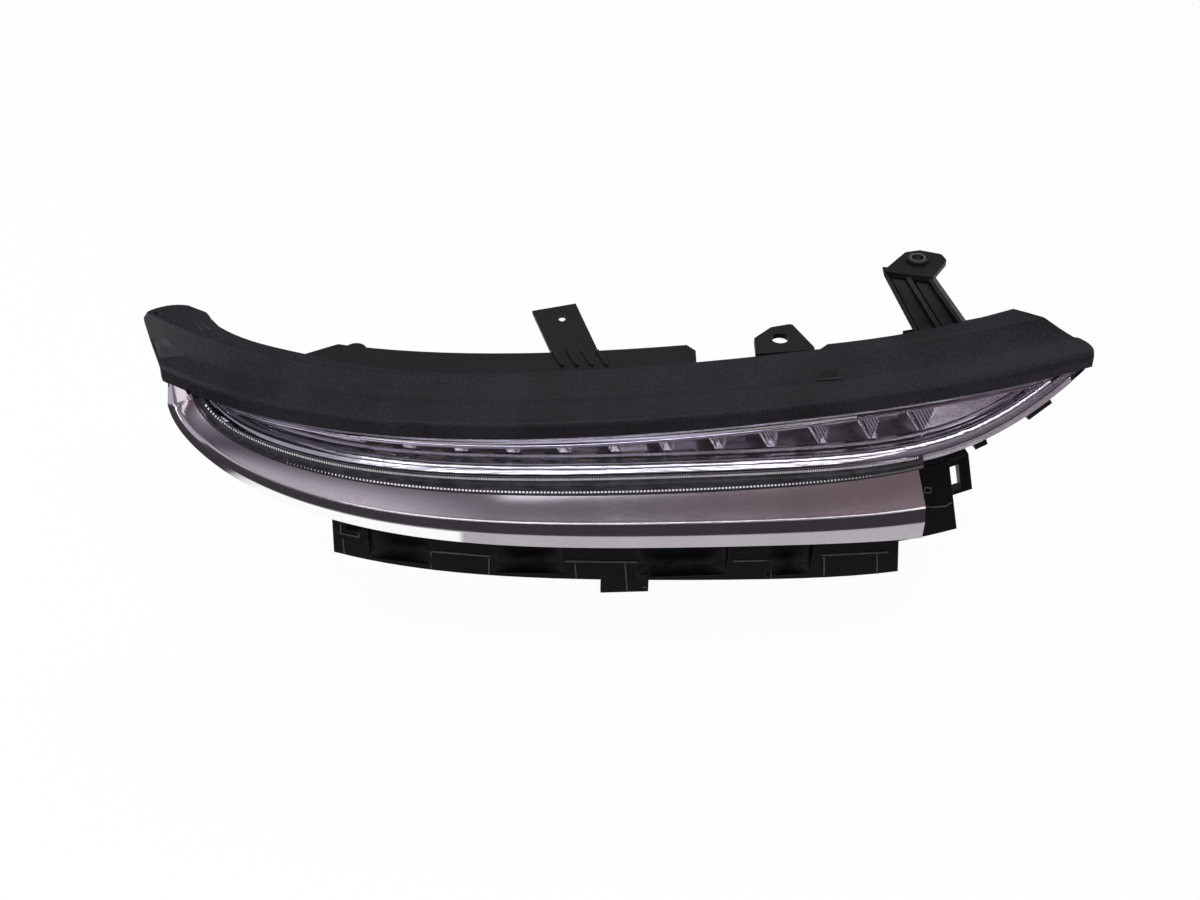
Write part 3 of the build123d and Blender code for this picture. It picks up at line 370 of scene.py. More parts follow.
def light_source(name):
    """A light source's yellow phosphor in a paler frame, with a grainy skin."""
    finish = Finish(name)
    grain = finish.noise(finish.place(), 2600.0, 3.0)
    finish.principled(
        {
            "Base Color": finish.blend(grain, (0.80, 0.62, 0.12, 1.0), (0.92, 0.84, 0.46, 1.0)),
            "Roughness": grain * 0.2 + 0.28,
            "Coat Weight": grain * 0.3 + 0.4,
            "Coat Roughness": 0.1,
            "Normal": finish.bump(grain, 0.3, 0.00006),
        }
    )
    return finish.material


grained_black = moulded_plastic(
    "grained_black", (0.0034, 0.0028, 0.0047, 1.0), (0.0158, 0.0132, 0.0203, 1.0), (0.045, 0.041, 0.050, 1.0),
    950.0, 0.00030, 0.50, 0.35, 0.19,
)
# A paler black for painted light: the lit facet of the cover's ear and painted highlights on its creases and the
# slot's lip
painted_sheen_black = moulded_plastic(
    "painted_sheen_black", (0.016, 0.015, 0.019, 1.0), (0.030, 0.028, 0.034, 1.0), (0.070, 0.067, 0.076, 1.0),
    1150.0, 0.00020, 0.44, 0.4,
)
moulded_black = moulded_plastic(
    "moulded_black", (0.0042, 0.0038, 0.0050, 1.0), (0.0086, 0.0078, 0.0100, 1.0), (0.060, 0.056, 0.064, 1.0),
    700.0, 0.00010, 0.46, 0.5, 0.16,
)
# The last colour makes the bracket's hollows paler
bracket_black = moulded_plastic(
    "bracket_black", (0.0010, 0.0009, 0.0012, 1.0), (0.0028, 0.0026, 0.0032, 1.0), (0.055, 0.053, 0.058, 1.0),
    520.0, 0.00008, 0.40, 0.6, 0.08, (0.070, 0.066, 0.076, 1.0),
)
# A grey far paler than the bracket: painted highlights along its ribs and lips
rib_highlight_grey = moulded_plastic(
    "rib_highlight_grey", (0.030, 0.029, 0.033, 1.0), (0.060, 0.058, 0.064, 1.0), (0.11, 0.107, 0.115, 1.0),
    900.0, 0.00005, 0.42, 0.6,
)
# Near black for painted shade: slots and a dash drawn as flat patches on the cover
slot_shade_black = moulded_plastic(
    "slot_shade_black", (0.0020, 0.0020, 0.0024, 1.0), (0.0040, 0.0038, 0.0046, 1.0), (0.012, 0.012, 0.013, 1.0),
    900.0, 0.00006, 0.70, 0.2,
)
part_black = moulded_plastic(
    "part_black", (0.020, 0.020, 0.023, 1.0), (0.036, 0.036, 0.040, 1.0), (0.10, 0.10, 0.11, 1.0),
    1600.0, 0.00004, 0.36, 0.4,
)
# The near-white last colour is the painted highlight on the strip's left underside
satin_trim = satin_metal(
    "satin_trim", (0.405, 0.372, 0.410, 1.0), (0.455, 0.420, 0.460, 1.0), (0.97, 0.97, 0.97, 1.0), 0.13,
)
bright_reflector = bright_metal(
    "bright_reflector", (0.52, 0.48, 0.52, 1.0), (0.66, 0.62, 0.66, 1.0), 0.21, 500.0, 0.10, 0.00004,
)
bright_bezel = bright_metal(
    "bright_bezel", (0.70, 0.68, 0.72, 1.0), (0.84, 0.82, 0.86, 1.0), 0.08, 420.0, 0.06, 0.00004,
)
streaked_sill = bright_metal(
    "streaked_sill", (0.80, 0.79, 0.82, 1.0), (0.95, 0.94, 0.97, 1.0), 0.14, 420.0, 0.20, 0.0005,
)
plain_aluminium = bright_metal(
    "plain_aluminium", (0.60, 0.61, 0.62, 1.0), (0.74, 0.75, 0.76, 1.0), 0.34, 800.0, 0.3, 0.00004,
)
zinc_steel = bright_metal(
    "zinc_steel", (0.46, 0.47, 0.49, 1.0), (0.62, 0.63, 0.65, 1.0), 0.30, 900.0, 0.3, 0.00003,
)
dark_steel = bright_metal(
    "dark_steel", (0.12, 0.12, 0.13, 1.0), (0.22, 0.22, 0.23, 1.0), 0.32, 900.0, 0.3, 0.00003,
)
tinned_brass = bright_metal(
    "tinned_brass", (0.58, 0.50, 0.33, 1.0), (0.76, 0.70, 0.52, 1.0), 0.24, 900.0, 0.3, 0.00002,
)
lens_clear = clear_lens("lens_clear")
flange_dark = milky_flange("flange_dark", (0.012, 0.011, 0.015, 1.0), (0.030, 0.028, 0.036, 1.0), 0.25, 0.08)
flange_pale = milky_flange("flange_pale", (0.27, 0.235, 0.275, 1.0), (0.37, 0.33, 0.375, 1.0))
tooth_clear = milky_flange("tooth_clear", (0.34, 0.33, 0.37, 1.0), (0.56, 0.54, 0.59, 1.0))
# Near white for painted glints on the lens's teeth, the flute ridges and the chevrons
painted_glint_white = milky_flange("painted_glint_white", (0.80, 0.79, 0.82, 1.0), (0.95, 0.94, 0.97, 1.0))
seal_rubber = soft_rubber("seal_rubber", (0.010, 0.010, 0.011, 1.0), (0.022, 0.022, 0.023, 1.0), 0.70)
pad_grey = soft_rubber("pad_grey", (0.36, 0.37, 0.39, 1.0), (0.48, 0.49, 0.51, 1.0), 0.75)
board_white = circuit_board("board_white", (0.78, 0.79, 0.78, 1.0), (0.70, 0.71, 0.69, 1.0), 0.40)
board_green = circuit_board("board_green", (0.020, 0.105, 0.045, 1.0), (0.035, 0.190, 0.085, 1.0), 0.38)
led_yellow = light_source("led_yellow")

FINISHES = {
    "rear_housing": moulded_black,
    "outer_lens": lens_clear,
    "lens_seal": seal_rubber,
    "inner_bezel": bright_bezel,
    "reflector": bright_reflector,
    "led_board": board_white,
    "leds": led_yellow,
    "thermal_pad": pad_grey,
    "heat_spreader": plain_aluminium,
    "driver_board": board_green,
    "driver_parts": part_black,
    "socket_pins": tinned_brass,
    "breather_caps": seal_rubber,
    "arm_bush": dark_steel,
    "top_cover": grained_black,
    "trim_strip": satin_trim,
    "lower_bracket": bracket_black,
    "board_screws": zinc_steel,
    "reflector_screws": zinc_steel,
    "cover_screws": zinc_steel,
    "bracket_screws": zinc_steel,
}
for node_name, material in FINISHES.items():
    slots = nodes[node_name].data.materials
    slots.clear()
    slots.append(material)


def placed(name, data):
    """A new object in the scene."""
    made = bpy.data.objects.new(name, data)
    bpy.context.scene.collection.objects.link(made)
    return made


def piece(name, points, faces, material, slot, sharp=38.0):
    """A new piece of the lamp that stays with the lamp's body."""
    mesh = bpy.data.meshes.new(name)
    mesh.from_pydata([tuple(point) for point in points], [], faces)
    mesh.validate()
    mesh.polygons.foreach_set("use_smooth", [True] * len(mesh.polygons))
    mesh.set_sharp_from_angle(angle=math.radians(sharp))
    mesh.materials.append(material)
    made = placed(name, mesh)
    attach(made, "root")
    return made


def joined_rings(rings):
    """Faces of a closed moulding through rings of as many points each."""
    size = len(rings[0])
    points = [point for ring in rings for point in ring]
    faces = []
    for ring in range(len(rings) - 1):
        for side in range(size):
            here, there = ring * size + side, ring * size + (side + 1) % size
            faces.append((here, there, there + size, here + size))
    faces.append(tuple(range(size))[::-1])
    faces.append(tuple(range(len(points) - size, len(points))))
    return points, faces


def add_solid(points, faces, new_points, new_faces):
    """Add one closed solid to the points and faces of a piece."""
    faces += [tuple(index + len(points) for index in face) for face in new_faces]
    points += new_points


def lower_moulding(name, first, last, section, material, slot, count=160):
    """A moulding along the lens's lower edge; section(x) gives its outline as pairs of out and depth."""
    start, stop = lower_share(first), lower_share(last)
    rings = []
    for step in range(count + 1):
        share = start + (stop - start) * step / count
        x = lower_point(share, 0)[0]
        rings.append([at(*lower_point(share, out), depth) for out, depth in section(x)])
    piece(name, *joined_rings(rings), material, slot)


def upper_moulding(name, first, last, section, material, slot, count=160):
    """A moulding along the lens's upper edge; section(x) gives its outline as pairs of out and depth."""
    rings = []
    for step in range(count + 1):
        x = first + (last - first) * step / count
        rings.append([at(x, edge_height(x) + out, depth) for out, depth in section(x)])
    piece(name, *joined_rings(rings), material, slot)


def tooth(corners, rise):
    """A wedge on four corners: its ridge runs between the middles of the two short sides."""
    a, b, c, d = corners
    face_out = (b - a).cross(d - a).normalized()
    if face_out.y > 0:
        face_out = -face_out
    low, high = (a + b) / 2 + face_out * rise, (d + c) / 2 + face_out * rise
    return [a, b, c, d, low, high], [(0, 1, 4), (1, 2, 5, 4), (2, 3, 5), (3, 0, 4, 5), (0, 3, 2, 1)]


SMALLEST_TOOTH = 0.15


def tooth_row(name, first, last, pitch, edge, out_low, out_high, depth, rise, material, wide=0.72, fade=0.1):
    """A row of fine teeth on the lens beside one of its edges, smaller over the fade length at each end."""
    points, faces = [], []
    for step in range(int((last - first) / pitch)):
        middle = first + pitch * (step + 0.5)
        size = max(SMALLEST_TOOTH, min(1.0, (middle - first) / fade, (last - middle) / fade))
        corners = []
        for side, out in ((-1, out_low), (1, out_low), (1, out_high), (-1, out_high)):
            x = middle + side * pitch * wide * size / 2
            beside = out(middle)
            if edge == "lower":
                spot = lower_point(lower_share(x), beside)
            else:
                spot = x, edge_height(x) + beside
            corners.append(at(*spot, depth(middle, beside)))
        add_solid(points, faces, *tooth(corners, rise * size / 1000))
    piece(name, points, faces, material, "lens_clear", sharp=20.0)


# The lens's lower flange lies on the trim's top edge, widest in the middle, and carries two rows of teeth
FLANGE_ENDS = (-204.2, 165.0)
FLANGE_SPREAD = (0.0, 0.0, 0.3, 3.0, 0.4, 0.0)
FLANGE_SLOPE = 0.64


def flange_spread(x):
    return bernstein(FLANGE_SPREAD, (x - FLANGE_ENDS[0]) / (FLANGE_ENDS[1] - FLANGE_ENDS[0]))


def flange_section(x):
    """The flange's outline: a step down from the lens, then a slope out over the strip's top edge."""
    spread = flange_spread(x)
    drop = FLANGE_SLOPE * spread
    return (
        (0.2, 3.8), (0.4, 0.9), (2.6, 0.35), (4.8, 0.1),
        (5.8 + spread, -0.95 - drop), (6.1 + spread, -0.30 - drop), (5.5, 0.2), (5.4, 3.8),
    )


def gap_shade_section(x):
    """A dark strip between the flange's outer edge and the strip: painted shade in the gap there."""
    spread = flange_spread(x)
    drop = FLANGE_SLOPE * spread
    start = 6.15 + spread
    width = 0.55 + 0.35 * spread
    fall = FLANGE_SLOPE * width
    return (
        (start, -0.20 - drop), (start, -0.72 - drop), (start + width / 2, -0.78 - drop - fall / 2),
        (start + width, -0.40 - drop - fall), (start + width, -0.20 - drop - fall),
    )


lower_moulding("lens_lower_flange", *FLANGE_ENDS, flange_section, flange_dark, "lens_clear")
# A dark strip in the rubber finish: painted shade in the gap between flange and strip
lower_moulding("trim_top_shade_strip", *FLANGE_ENDS, gap_shade_section, seal_rubber, "seal_rubber")
# These teeth are near white: painted glints of clear teeth catching the light
tooth_row(
    "lens_edge_teeth", -203.0, 163.0, 1.2, "lower",
    lambda x: 0.6, lambda x: 1.6, lambda x, out: 0.9 - (out - 0.4) * 0.25, 0.40, painted_glint_white, wide=0.5,
)
tooth_row(
    "flange_teeth", -160.0, 140.0, 1.8, "lower",
    lambda x: 5.2 + flange_spread(x), lambda x: 5.75 + flange_spread(x),
    lambda x, out: 0.1 - (out - 4.8) * (1.05 + FLANGE_SLOPE * flange_spread(x)) / (1.0 + flange_spread(x)),
    0.40, painted_glint_white, wide=0.55, fade=60.0,
)
tooth_row(
    "lens_upper_teeth", -120.0, 130.0, 1.2, "upper",
    lambda x: -2.6, lambda x: -3.3, lambda x, out: -0.02, 0.30, painted_glint_white, wide=0.5,
)


def thinned(outline, foot, size):
    """An outline drawn in towards its foot."""
    return tuple((foot[0] + (out - foot[0]) * size, foot[1] + (depth - foot[1]) * size) for out, depth in outline)


END_RIM = ((-2.4, 2.75), (-1.3, 1.7), (-0.1, 1.2), (-0.1, 3.6), (-2.3, 3.6))
END_RIM_STARTS, END_RIM_GROWS = 116.0, 45


def end_rim_section(x):
    """The milky rim at the lens's right end, which grows out of nothing towards the right."""
    return thinned(END_RIM, (-0.1, 3.6), max(0.05, min(1.0, (x - END_RIM_STARTS) / END_RIM_GROWS)))


lower_moulding("lens_end_rim", 116.5, 243.0, end_rim_section, flange_pale, "lens_clear", count=120)
lower_moulding(
    "lens_end_flange", 159.0, 240.0,
    lambda x: ((0.1, 3.95), (0.1, 1.4), (2.8, 2.2), (4.9, 2.7), (5.3, 3.95)),
    flange_pale, "lens_clear", count=80,
)
tooth_row(
    "end_flange_teeth", 160.0, 196.0, 1.3, "lower",
    lambda x: 2.9, lambda x: 4.9, lambda x, out: 2.22 + (out - 2.8) * 0.24, 0.4, tooth_clear,
)

# The satin strip: a thin skin with soft folds, from under the cover's ear to its skewed right end
TRIM_OUT, TRIM_START, TRIM_LAST_X = 6.0, -0.05, 171.0
TRIM_WIDTHS = {
    "crease": (6.0, 9.5, 21.0, 15.0, 21.0),
    "shade": (8.5, 13.0, 33.0, 21.0, 29.5),
    "edge": (10.5, 22.0, 42.0, 27.0, 42.0),
}
CREASE_DEPTHS = (-4.0, -8.9, -8.9)
TRIM_TUCK, TRIM_TOP_BEND = 4.4, 0.7
FACET_IN, FACET_OUT, FACET_RISE, FACET_BEND = 0.7, 0.5, 0.41, 0.3
SHADE_BEND, UNDERSIDE_LEAN = 1.2, 0.5
TRIM_SKIN = 1.0
TRIM_CROWNS = (0.022, 0.018, 0.004)
TRIM_END_X, TRIM_END_Z, TRIM_END_SKEW = 163.0, -23.0, 0.6

# The cover above the strip: its front, its underside and where its lower edge shows in the picture
COVER_FRONT, COVER_CLEARANCE = -2.9, 0.5
COVER_LINE_ACROSS, COVER_LINE_DOWN, COVER_LINE_SLOPE = 164.0, 381.5, 0.42


def trim_station(share):
    """Where the strip's upper edge lies, and the way it widens; below nought it runs straight on to the left."""
    on_edge = max(0.0, share)
    x, z = lower_point(on_edge, TRIM_OUT)
    far_x, far_z = lower_point(on_edge, TRIM_OUT + 1)
    way_x, way_z = far_x - x, far_z - z
    if share < 0:
        back = (len(LOWER_EDGE) - 1) * share
        x += back * (LOWER_EDGE[1][0] - LOWER_EDGE[0][0])
        z += back * (LOWER_EDGE[1][1] - LOWER_EDGE[0][1])
    return x, z, way_x, way_z


BEND_STEPS, CROWN_STEPS, LONGEST_BEND = 6, 12, 0.45


def folded(corners, crown):
    """An outline through corners (width, depth, radius): soft bends, and a crown on its first long face."""
    line = [corners[0][:2]]
    for before, here, after in zip(corners, corners[1:], corners[2:]):
        corner = Vector(here[:2])
        into, away = Vector(before[:2]) - corner, Vector(after[:2]) - corner
        first = corner + into.normalized() * min(here[2], into.length * LONGEST_BEND)
        last = corner + away.normalized() * min(here[2], away.length * LONGEST_BEND)
        for step in range(BEND_STEPS + 1):
            t = step / BEND_STEPS
            line.append(tuple(first * (1 - t) ** 2 + corner * 2 * t * (1 - t) + last * t**2))
        if before is corners[0]:
            start, run = last, Vector(after[:2]) - away.normalized() * after[2] - last
            rise = Vector((run.y, -run.x)) * crown
            for step in range(1, CROWN_STEPS):
                t = step / CROWN_STEPS
                line.append(tuple(start + run * t + rise * 4 * t * (1 - t)))
    line.append(corners[-1][:2])
    return line


TRIM_LAST = lower_share(TRIM_LAST_X)


def trim_outline(share):
    """The strip's outline as pairs of width and depth: its face, then its back."""
    u = (share - TRIM_START) / (TRIM_LAST - TRIM_START)
    crease, shade, edge = (bernstein(TRIM_WIDTHS[name], u) for name in ("crease", "shade", "edge"))
    depth = bernstein(CREASE_DEPTHS, u)
    face = folded(
        [
            (0.0, TRIM_TUCK, 0.0),
            (0.0, 0.0, TRIM_TOP_BEND),
            (crease - FACET_IN, depth + FACET_RISE, FACET_BEND),
            (crease + FACET_OUT, depth, FACET_BEND),
            (shade, depth - UNDERSIDE_LEAN, SHADE_BEND),
            (edge, depth + UNDERSIDE_LEAN, 0.0),
        ],
        bernstein(TRIM_CROWNS, u),
    )
    back = [(width + 0.5 * TRIM_SKIN, deep + TRIM_SKIN) for width, deep in face]
    back[-1] = (face[-1][0], face[-1][1] + TRIM_SKIN)
    back[0] = (TRIM_SKIN, face[0][1])
    return face + back[::-1]


def trim_spot(share, index):
    """A point of the strip's outline in the lamp's own millimetres."""
    x, z, way_x, way_z = trim_station(share)
    width, depth = trim_outline(share)[index]
    return Vector((x + width * way_x, front(x, z) + depth, z + width * way_z))


def picture_place(spot):
    """Where a point in the lamp's own millimetres shows in the picture."""
    rise = math.radians(VIEW_TILT)
    up = spot.y * math.sin(rise) + spot.z * math.cos(rise)
    away = spot.y * math.cos(rise) - spot.z * math.sin(rise)
    scale = PICTURE[0] * VIEW_LENS / VIEW_SENSOR / (1000 + away)
    return PICTURE[0] / 2 + spot.x * scale, PICTURE[1] / 2 - up * scale


def under_cover(spot):
    """Whether a point lies below the cover's ear, or in front of it and below its edge in the picture."""
    ahead = spot.y - front(spot.x, edge_height(spot.x))
    if ahead > COVER_FRONT:
        return spot.z < edge_height(LENS_LEFT) - COVER_CLEARANCE
    across, down = picture_place(spot)
    return down > COVER_LINE_DOWN + (across - COVER_LINE_ACROSS) * COVER_LINE_SLOPE


def before_end(spot):
    """Whether a point lies to the left of the strip's skewed right end."""
    end = TRIM_END_X + TRIM_END_SKEW * front(TRIM_END_X, TRIM_END_Z)
    return spot.x + TRIM_END_SKEW * spot.y < end


def crossing(test, inside, outside, index):
    """The share at which a line of the outline passes from inside a limit to outside it."""
    for _ in range(30):
        middle = (inside + outside) / 2
        if test(trim_spot(middle, index)):
            inside = middle
        else:
            outside = middle
    return inside


TRIM_STEPS, TRIM_CROWDING = 150, 1.5
outline_size = len(trim_outline(0.5))
trim_ends = [
    (crossing(under_cover, 0.10, -0.12, index), crossing(before_end, 0.5, TRIM_LAST + 0.02, index))
    for index in range(outline_size)
]
trim_rings = [
    [
        LENS_MIDDLE + trim_spot(first + (last - first) * (step / TRIM_STEPS) ** TRIM_CROWDING, index) / 1000
        for index, (first, last) in enumerate(trim_ends)
    ]
    for step in range(TRIM_STEPS + 1)
]
trim_skin = piece("satin_strip", *joined_rings(trim_rings), satin_trim, "trim_satin", sharp=60.0)
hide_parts("trim_strip")

# A dark web closes the bracket's end against the lens rim
lower_moulding(
    "bracket_end_web", 148.0, 186.0,
    lambda x: ((6.2, 7.2), (6.2, 6.6), (7.4, 5.6), (10.6, 5.2), (10.6, 7.2)),
    bracket_black, "bracket_black", count=40,
)

# Behind the lens: a bright brow above the cells and a streaked bright sill below them
BROW_DROPS = (0.3, 0.6, 6.6, 3.2, 1.6, 0.3)


def brow_section(x):
    """The bright brow: a sheet that hangs from the bezel and ends in a rolled lip."""
    drop = bernstein(BROW_DROPS, (x - LENS_LEFT) / (LENS_RIGHT - LENS_LEFT))
    low = BEZEL_IN - drop
    back = 4.3 + 0.3 * drop
    return (
        (BEZEL_IN - 0.05, 4.3), (BEZEL_IN - 0.05, 5.3), (low, back + 0.9),
        (low - 0.75, back + 0.75), (low - 1.25, back + 0.35), (low - 1.15, back - 0.15),
        (low - 0.75, back - 0.55), (low - 0.2, back - 0.50), (low, back),
    )


SILL = (
    (-4.80, 6.6), (-4.95, 5.4), (-4.6, 4.6), (-4.0, 3.85), (-3.35, 3.25),
    (-2.75, 2.85), (-2.7, 3.6), (-4.4, 4.15), (-4.62, 4.3), (-4.65, 6.6),
)
SILL_STARTS, SILL_GROWS = -200.0, 70


def sill_section(x):
    """The bright sill, which thins out towards the left."""
    return thinned(SILL, SILL[-1], max(0.1, min(1.0, (x - SILL_STARTS) / SILL_GROWS)))


PRISM = ((-2.35, 2.75), (-1.0, 1.75), (-0.6, 1.9), (-0.5, 3.4), (-2.2, 3.5))
PRISM_STARTS, PRISM_GROWS = -204.5, 30
PRISM_STOPS, PRISM_WANES = 167.0, 45


def prism_section(x):
    """The bright prism in the lens's rim, which thins out towards both ends."""
    size = min(1.0, (PRISM_STOPS - x) / PRISM_WANES, (x - PRISM_STARTS) / PRISM_GROWS)
    return thinned(PRISM, (-2.4, 3.5), max(0.05, size))


upper_moulding("bezel_brow", -188.0, 226.0, brow_section, bright_bezel, "bezel_bright")
lower_moulding("bezel_sill", -198.0, 233.0, sill_section, streaked_sill, "bezel_bright")
lower_moulding("lens_rim_prism", -203.6, 166.0, prism_section, streaked_sill, "lens_clear")

# Bright fins between the cells, and a fluted gusset beside each that grows towards the right
CELL_MARGIN = 6.5
FIN_STEPS, FIN_BACK, FIN_NOSE, FIN_BULGE = 8, 11.15, 8.6, 1.6
FIN_FOOT, FIN_SHOULDER, FIN_SLOPE = 0.40, 0.28, 0.4
FIN_REACH, FIN_REACH_GROWS = 0.40, 0.60
FLUTE_CREST, FLUTE_TOP, FLUTE_SHORTEST, FLUTE_TAPER = 0.55, 1.2, 0.8, 0.8
FLUTE_START, FLUTE_PITCH, FLUTE_PITCH_GROWS = 0.5, 0.9, 0.9
FLUTE_REACH, FLUTE_REACH_GROWS = 0.30, 0.62
FLUTE_TOP_DEPTH, FLUTE_TOP_BACK = 7.6, 9.2
FLUTE_LOW_DEPTH, FLUTE_LOW_BACK = 8.6, 10.0
RIDGE_HALF, RIDGE_FOOT, RIDGE_RISE = 0.32, 0.1, 0.35
fin_points, fin_faces = [], []
flute_points, flute_faces = [], []
ridge_points, ridge_faces = [], []

for wall in range(1, CELLS + 1):
    x = CELL_LEFT + CELL_PITCH * wall
    high = edge_height(x) - CELL_MARGIN
    low = lower_point(lower_share(x), -CELL_MARGIN)[1]
    lean = CELL_SLANT * (high - low) / 2
    size = wall / CELLS
    rings = []
    for step in range(FIN_STEPS + 1):
        share = step / FIN_STEPS * (FIN_REACH + FIN_REACH_GROWS * size)
        z = high + (low - high) * share
        middle = x - lean + 2 * lean * share
        nose = FIN_NOSE - FIN_BULGE * math.sin(math.pi * share)
        rings.append(
            [
                at(middle - FIN_FOOT, z, FIN_BACK),
                at(middle - FIN_SHOULDER, z, nose + FIN_SLOPE),
                at(middle, z, nose),
                at(middle + FIN_SHOULDER, z, nose + FIN_SLOPE),
                at(middle + FIN_FOOT, z, FIN_BACK),
            ]
        )
    add_solid(fin_points, fin_faces, *joined_rings(rings))
    flutes = 2 + round(6 * size)
    pitch = FLUTE_PITCH + FLUTE_PITCH_GROWS * size
    reach = (high - low) * (FLUTE_REACH + FLUTE_REACH_GROWS * size)
    rings = []
    for step in range(2 * flutes + 1):
        along = step / (2 * flutes)
        top_x = x - lean + FLUTE_START + pitch * step / 2
        length = max(FLUTE_SHORTEST, reach * (1 - along) ** FLUTE_TAPER)
        crest = 0.0 if step % 2 else FLUTE_CREST
        top = (top_x, high + FLUTE_TOP, FLUTE_TOP_DEPTH + crest)
        bottom = (top_x + CELL_SLANT * length, high - length, FLUTE_LOW_DEPTH + crest)
        rings.append([at(*top), at(*bottom), at(*bottom[:2], FLUTE_LOW_BACK), at(*top[:2], FLUTE_TOP_BACK)])
        if step % 2:
            ridge = [
                [
                    at(end_x - RIDGE_HALF, end_z, depth + RIDGE_FOOT),
                    at(end_x, end_z, depth - RIDGE_RISE),
                    at(end_x + RIDGE_HALF, end_z, depth + RIDGE_FOOT),
                ]
                for end_x, end_z, depth in (top, bottom)
            ]
            add_solid(ridge_points, ridge_faces, *joined_rings(ridge))
    add_solid(flute_points, flute_faces, *joined_rings(rings))

piece("cell_fins", fin_points, fin_faces, bright_bezel, "reflector_bright", sharp=170.0)
piece("cell_flutes", flute_points, flute_faces, bright_reflector, "reflector_bright", sharp=15.0)
# The flute ridges are near white: painted glints along the bright flutes
piece("flute_ridges", ridge_points, ridge_faces, painted_glint_white, "reflector_bright", sharp=15.0)

# Marks that are placed by where they show in the picture, each seated on the moulding that carries it
turn = Euler((math.radians(90.0 - VIEW_TILT), 0.0, 0.0)).to_matrix()
eye = LENS_MIDDLE + turn @ Vector((0.0, 0.0, 1.0))
SKINS = {}


def seat_of(node, across, down):
    """The point of a moulding at a place in the picture, and the way its face looks there."""
    if node not in SKINS:
        mesh = nodes[node].data
        SKINS[node] = BVHTree.FromPolygons(
            [vertex.co for vertex in mesh.vertices], [tuple(face.vertices) for face in mesh.polygons]
        )
    scale = VIEW_SENSOR / VIEW_LENS / PICTURE[0]
    way = turn @ Vector(((across - PICTURE[0] / 2) * scale, (PICTURE[1] / 2 - down) * scale, -1.0))
    spot, normal, _, _ = SKINS[node].ray_cast(eye, way.normalized())
    if spot is None:
        return None
    if normal.dot(way) > 0:
        normal = -normal
    return spot, normal


RIB_STEP, SEAT_SPACING, RIB_SINK, RIB_TOP = 3, 0.0002, 0.0002, 0.55
PAD_CELLS, PAD_LIFT, PAD_SINK, PAD_RIM = 8, 0.02, 0.0003, 6


def rib(name, node, marks, width, rise, material, slot):
    """Raised ribs on a moulding, each along a line of marks, with sloped sides sunk a little into it."""
    points, faces = [], []
    for line in marks:
        seats = []
        for (x0, y0), (x1, y1) in zip(line, line[1:]):
            steps = max(2, int(math.hypot(x1 - x0, y1 - y0) / RIB_STEP))
            for step in range(steps + 1):
                seat = seat_of(node, x0 + (x1 - x0) * step / steps, y0 + (y1 - y0) * step / steps)
                if seat and (not seats or (seat[0] - seats[-1][0]).length > SEAT_SPACING):
                    seats.append(seat)
        if len(seats) < 2:
            continue
        rings = []
        for place, (spot, normal) in enumerate(seats):
            ahead = seats[min(place + 1, len(seats) - 1)][0] - seats[max(place - 1, 0)][0]
            side = normal.cross(ahead).normalized() * width / 2000
            up = normal * rise / 1000
            sunk = normal * -RIB_SINK
            rings.append(
                [spot - side + sunk, spot + side + sunk, spot + side * RIB_TOP + up, spot - side * RIB_TOP + up]
            )
        add_solid(points, faces, *joined_rings(rings))
    piece(name, points, faces, material, slot, sharp=50.0)


def pad(name, node, corners, rise, material, slot):
    """A low swelling, or a flat patch that carries a slot's painted shade, on a moulding between four marks."""
    count = PAD_CELLS
    upper, under = [], []
    for row in range(count + 1):
        v = row / count
        for column in range(count + 1):
            u = column / count
            weights = ((1 - u) * (1 - v), u * (1 - v), u * v, (1 - u) * v)
            across = sum(weight * corner[0] for weight, corner in zip(weights, corners))
            down = sum(weight * corner[1] for weight, corner in zip(weights, corners))
            spot, normal = seat_of(node, across, down)
            crown = min(1.0, PAD_RIM * min(u, 1 - u, v, 1 - v))
            upper.append(spot + normal * (rise * crown + PAD_LIFT) / 1000)
            under.append(spot - normal * PAD_SINK)
    size = count + 1
    faces = []
    for row in range(count):
        for column in range(count):
            here = row * size + column
            faces.append((here, here + 1, here + size + 1, here + size))
            there = here + size * size
            faces.append((there, there + size, there + size + 1, there + 1))
    rim = [*range(size), *[row * size + count for row in range(1, size)]]
    rim += [*range(size * size - 2, size * count - 1, -1), *[row * size for row in range(count - 1, 0, -1)]]
    for here, there in zip(rim, rim[1:] + rim[:1]):
        faces.append((here, here + size * size, there + size * size, there))
    piece(name, upper + under, faces, material, slot, sharp=40.0)


# The ear's pad and creases are paler: a painted lit facet and painted highlights
pad(
    "ear_facet", "top_cover", ((154, 342), (168, 337), (186, 355), (160, 358)),
    0.5, painted_sheen_black, "cover_black",
)
rib(
    "ear_creases", "top_cover", [[(195, 322), (204, 332)], [(200, 322), (211, 330)]],
    1.0, 0.3, painted_sheen_black, "cover_black",
)
# The slot and the dash are flat patches whose near black is painted shade of a recess
pad(
    "cover_slot", "top_cover", ((820, 371), (838, 370), (838, 377), (820, 378)),
    0.0, slot_shade_black, "cover_black",
)
# The slot's lip is paler: a painted highlight
rib("cover_slot_lip", "top_cover", [[(817, 380), (842, 378.5)]], 1.1, 0.8, painted_sheen_black, "cover_black")
pad(
    "cover_dash", "top_cover", ((435, 382), (449, 382.5), (449, 384.5), (435, 384)),
    0.0, slot_shade_black, "cover_black",
)
rib(
    "nose_mark", "top_cover",
    [[(1016, 325), (1022, 322.5), (1031, 322.5), (1035, 325), (1028, 327.5), (1019, 327.5), (1016, 325)]],
    0.8, 0.2, grained_black, "cover_black",
)
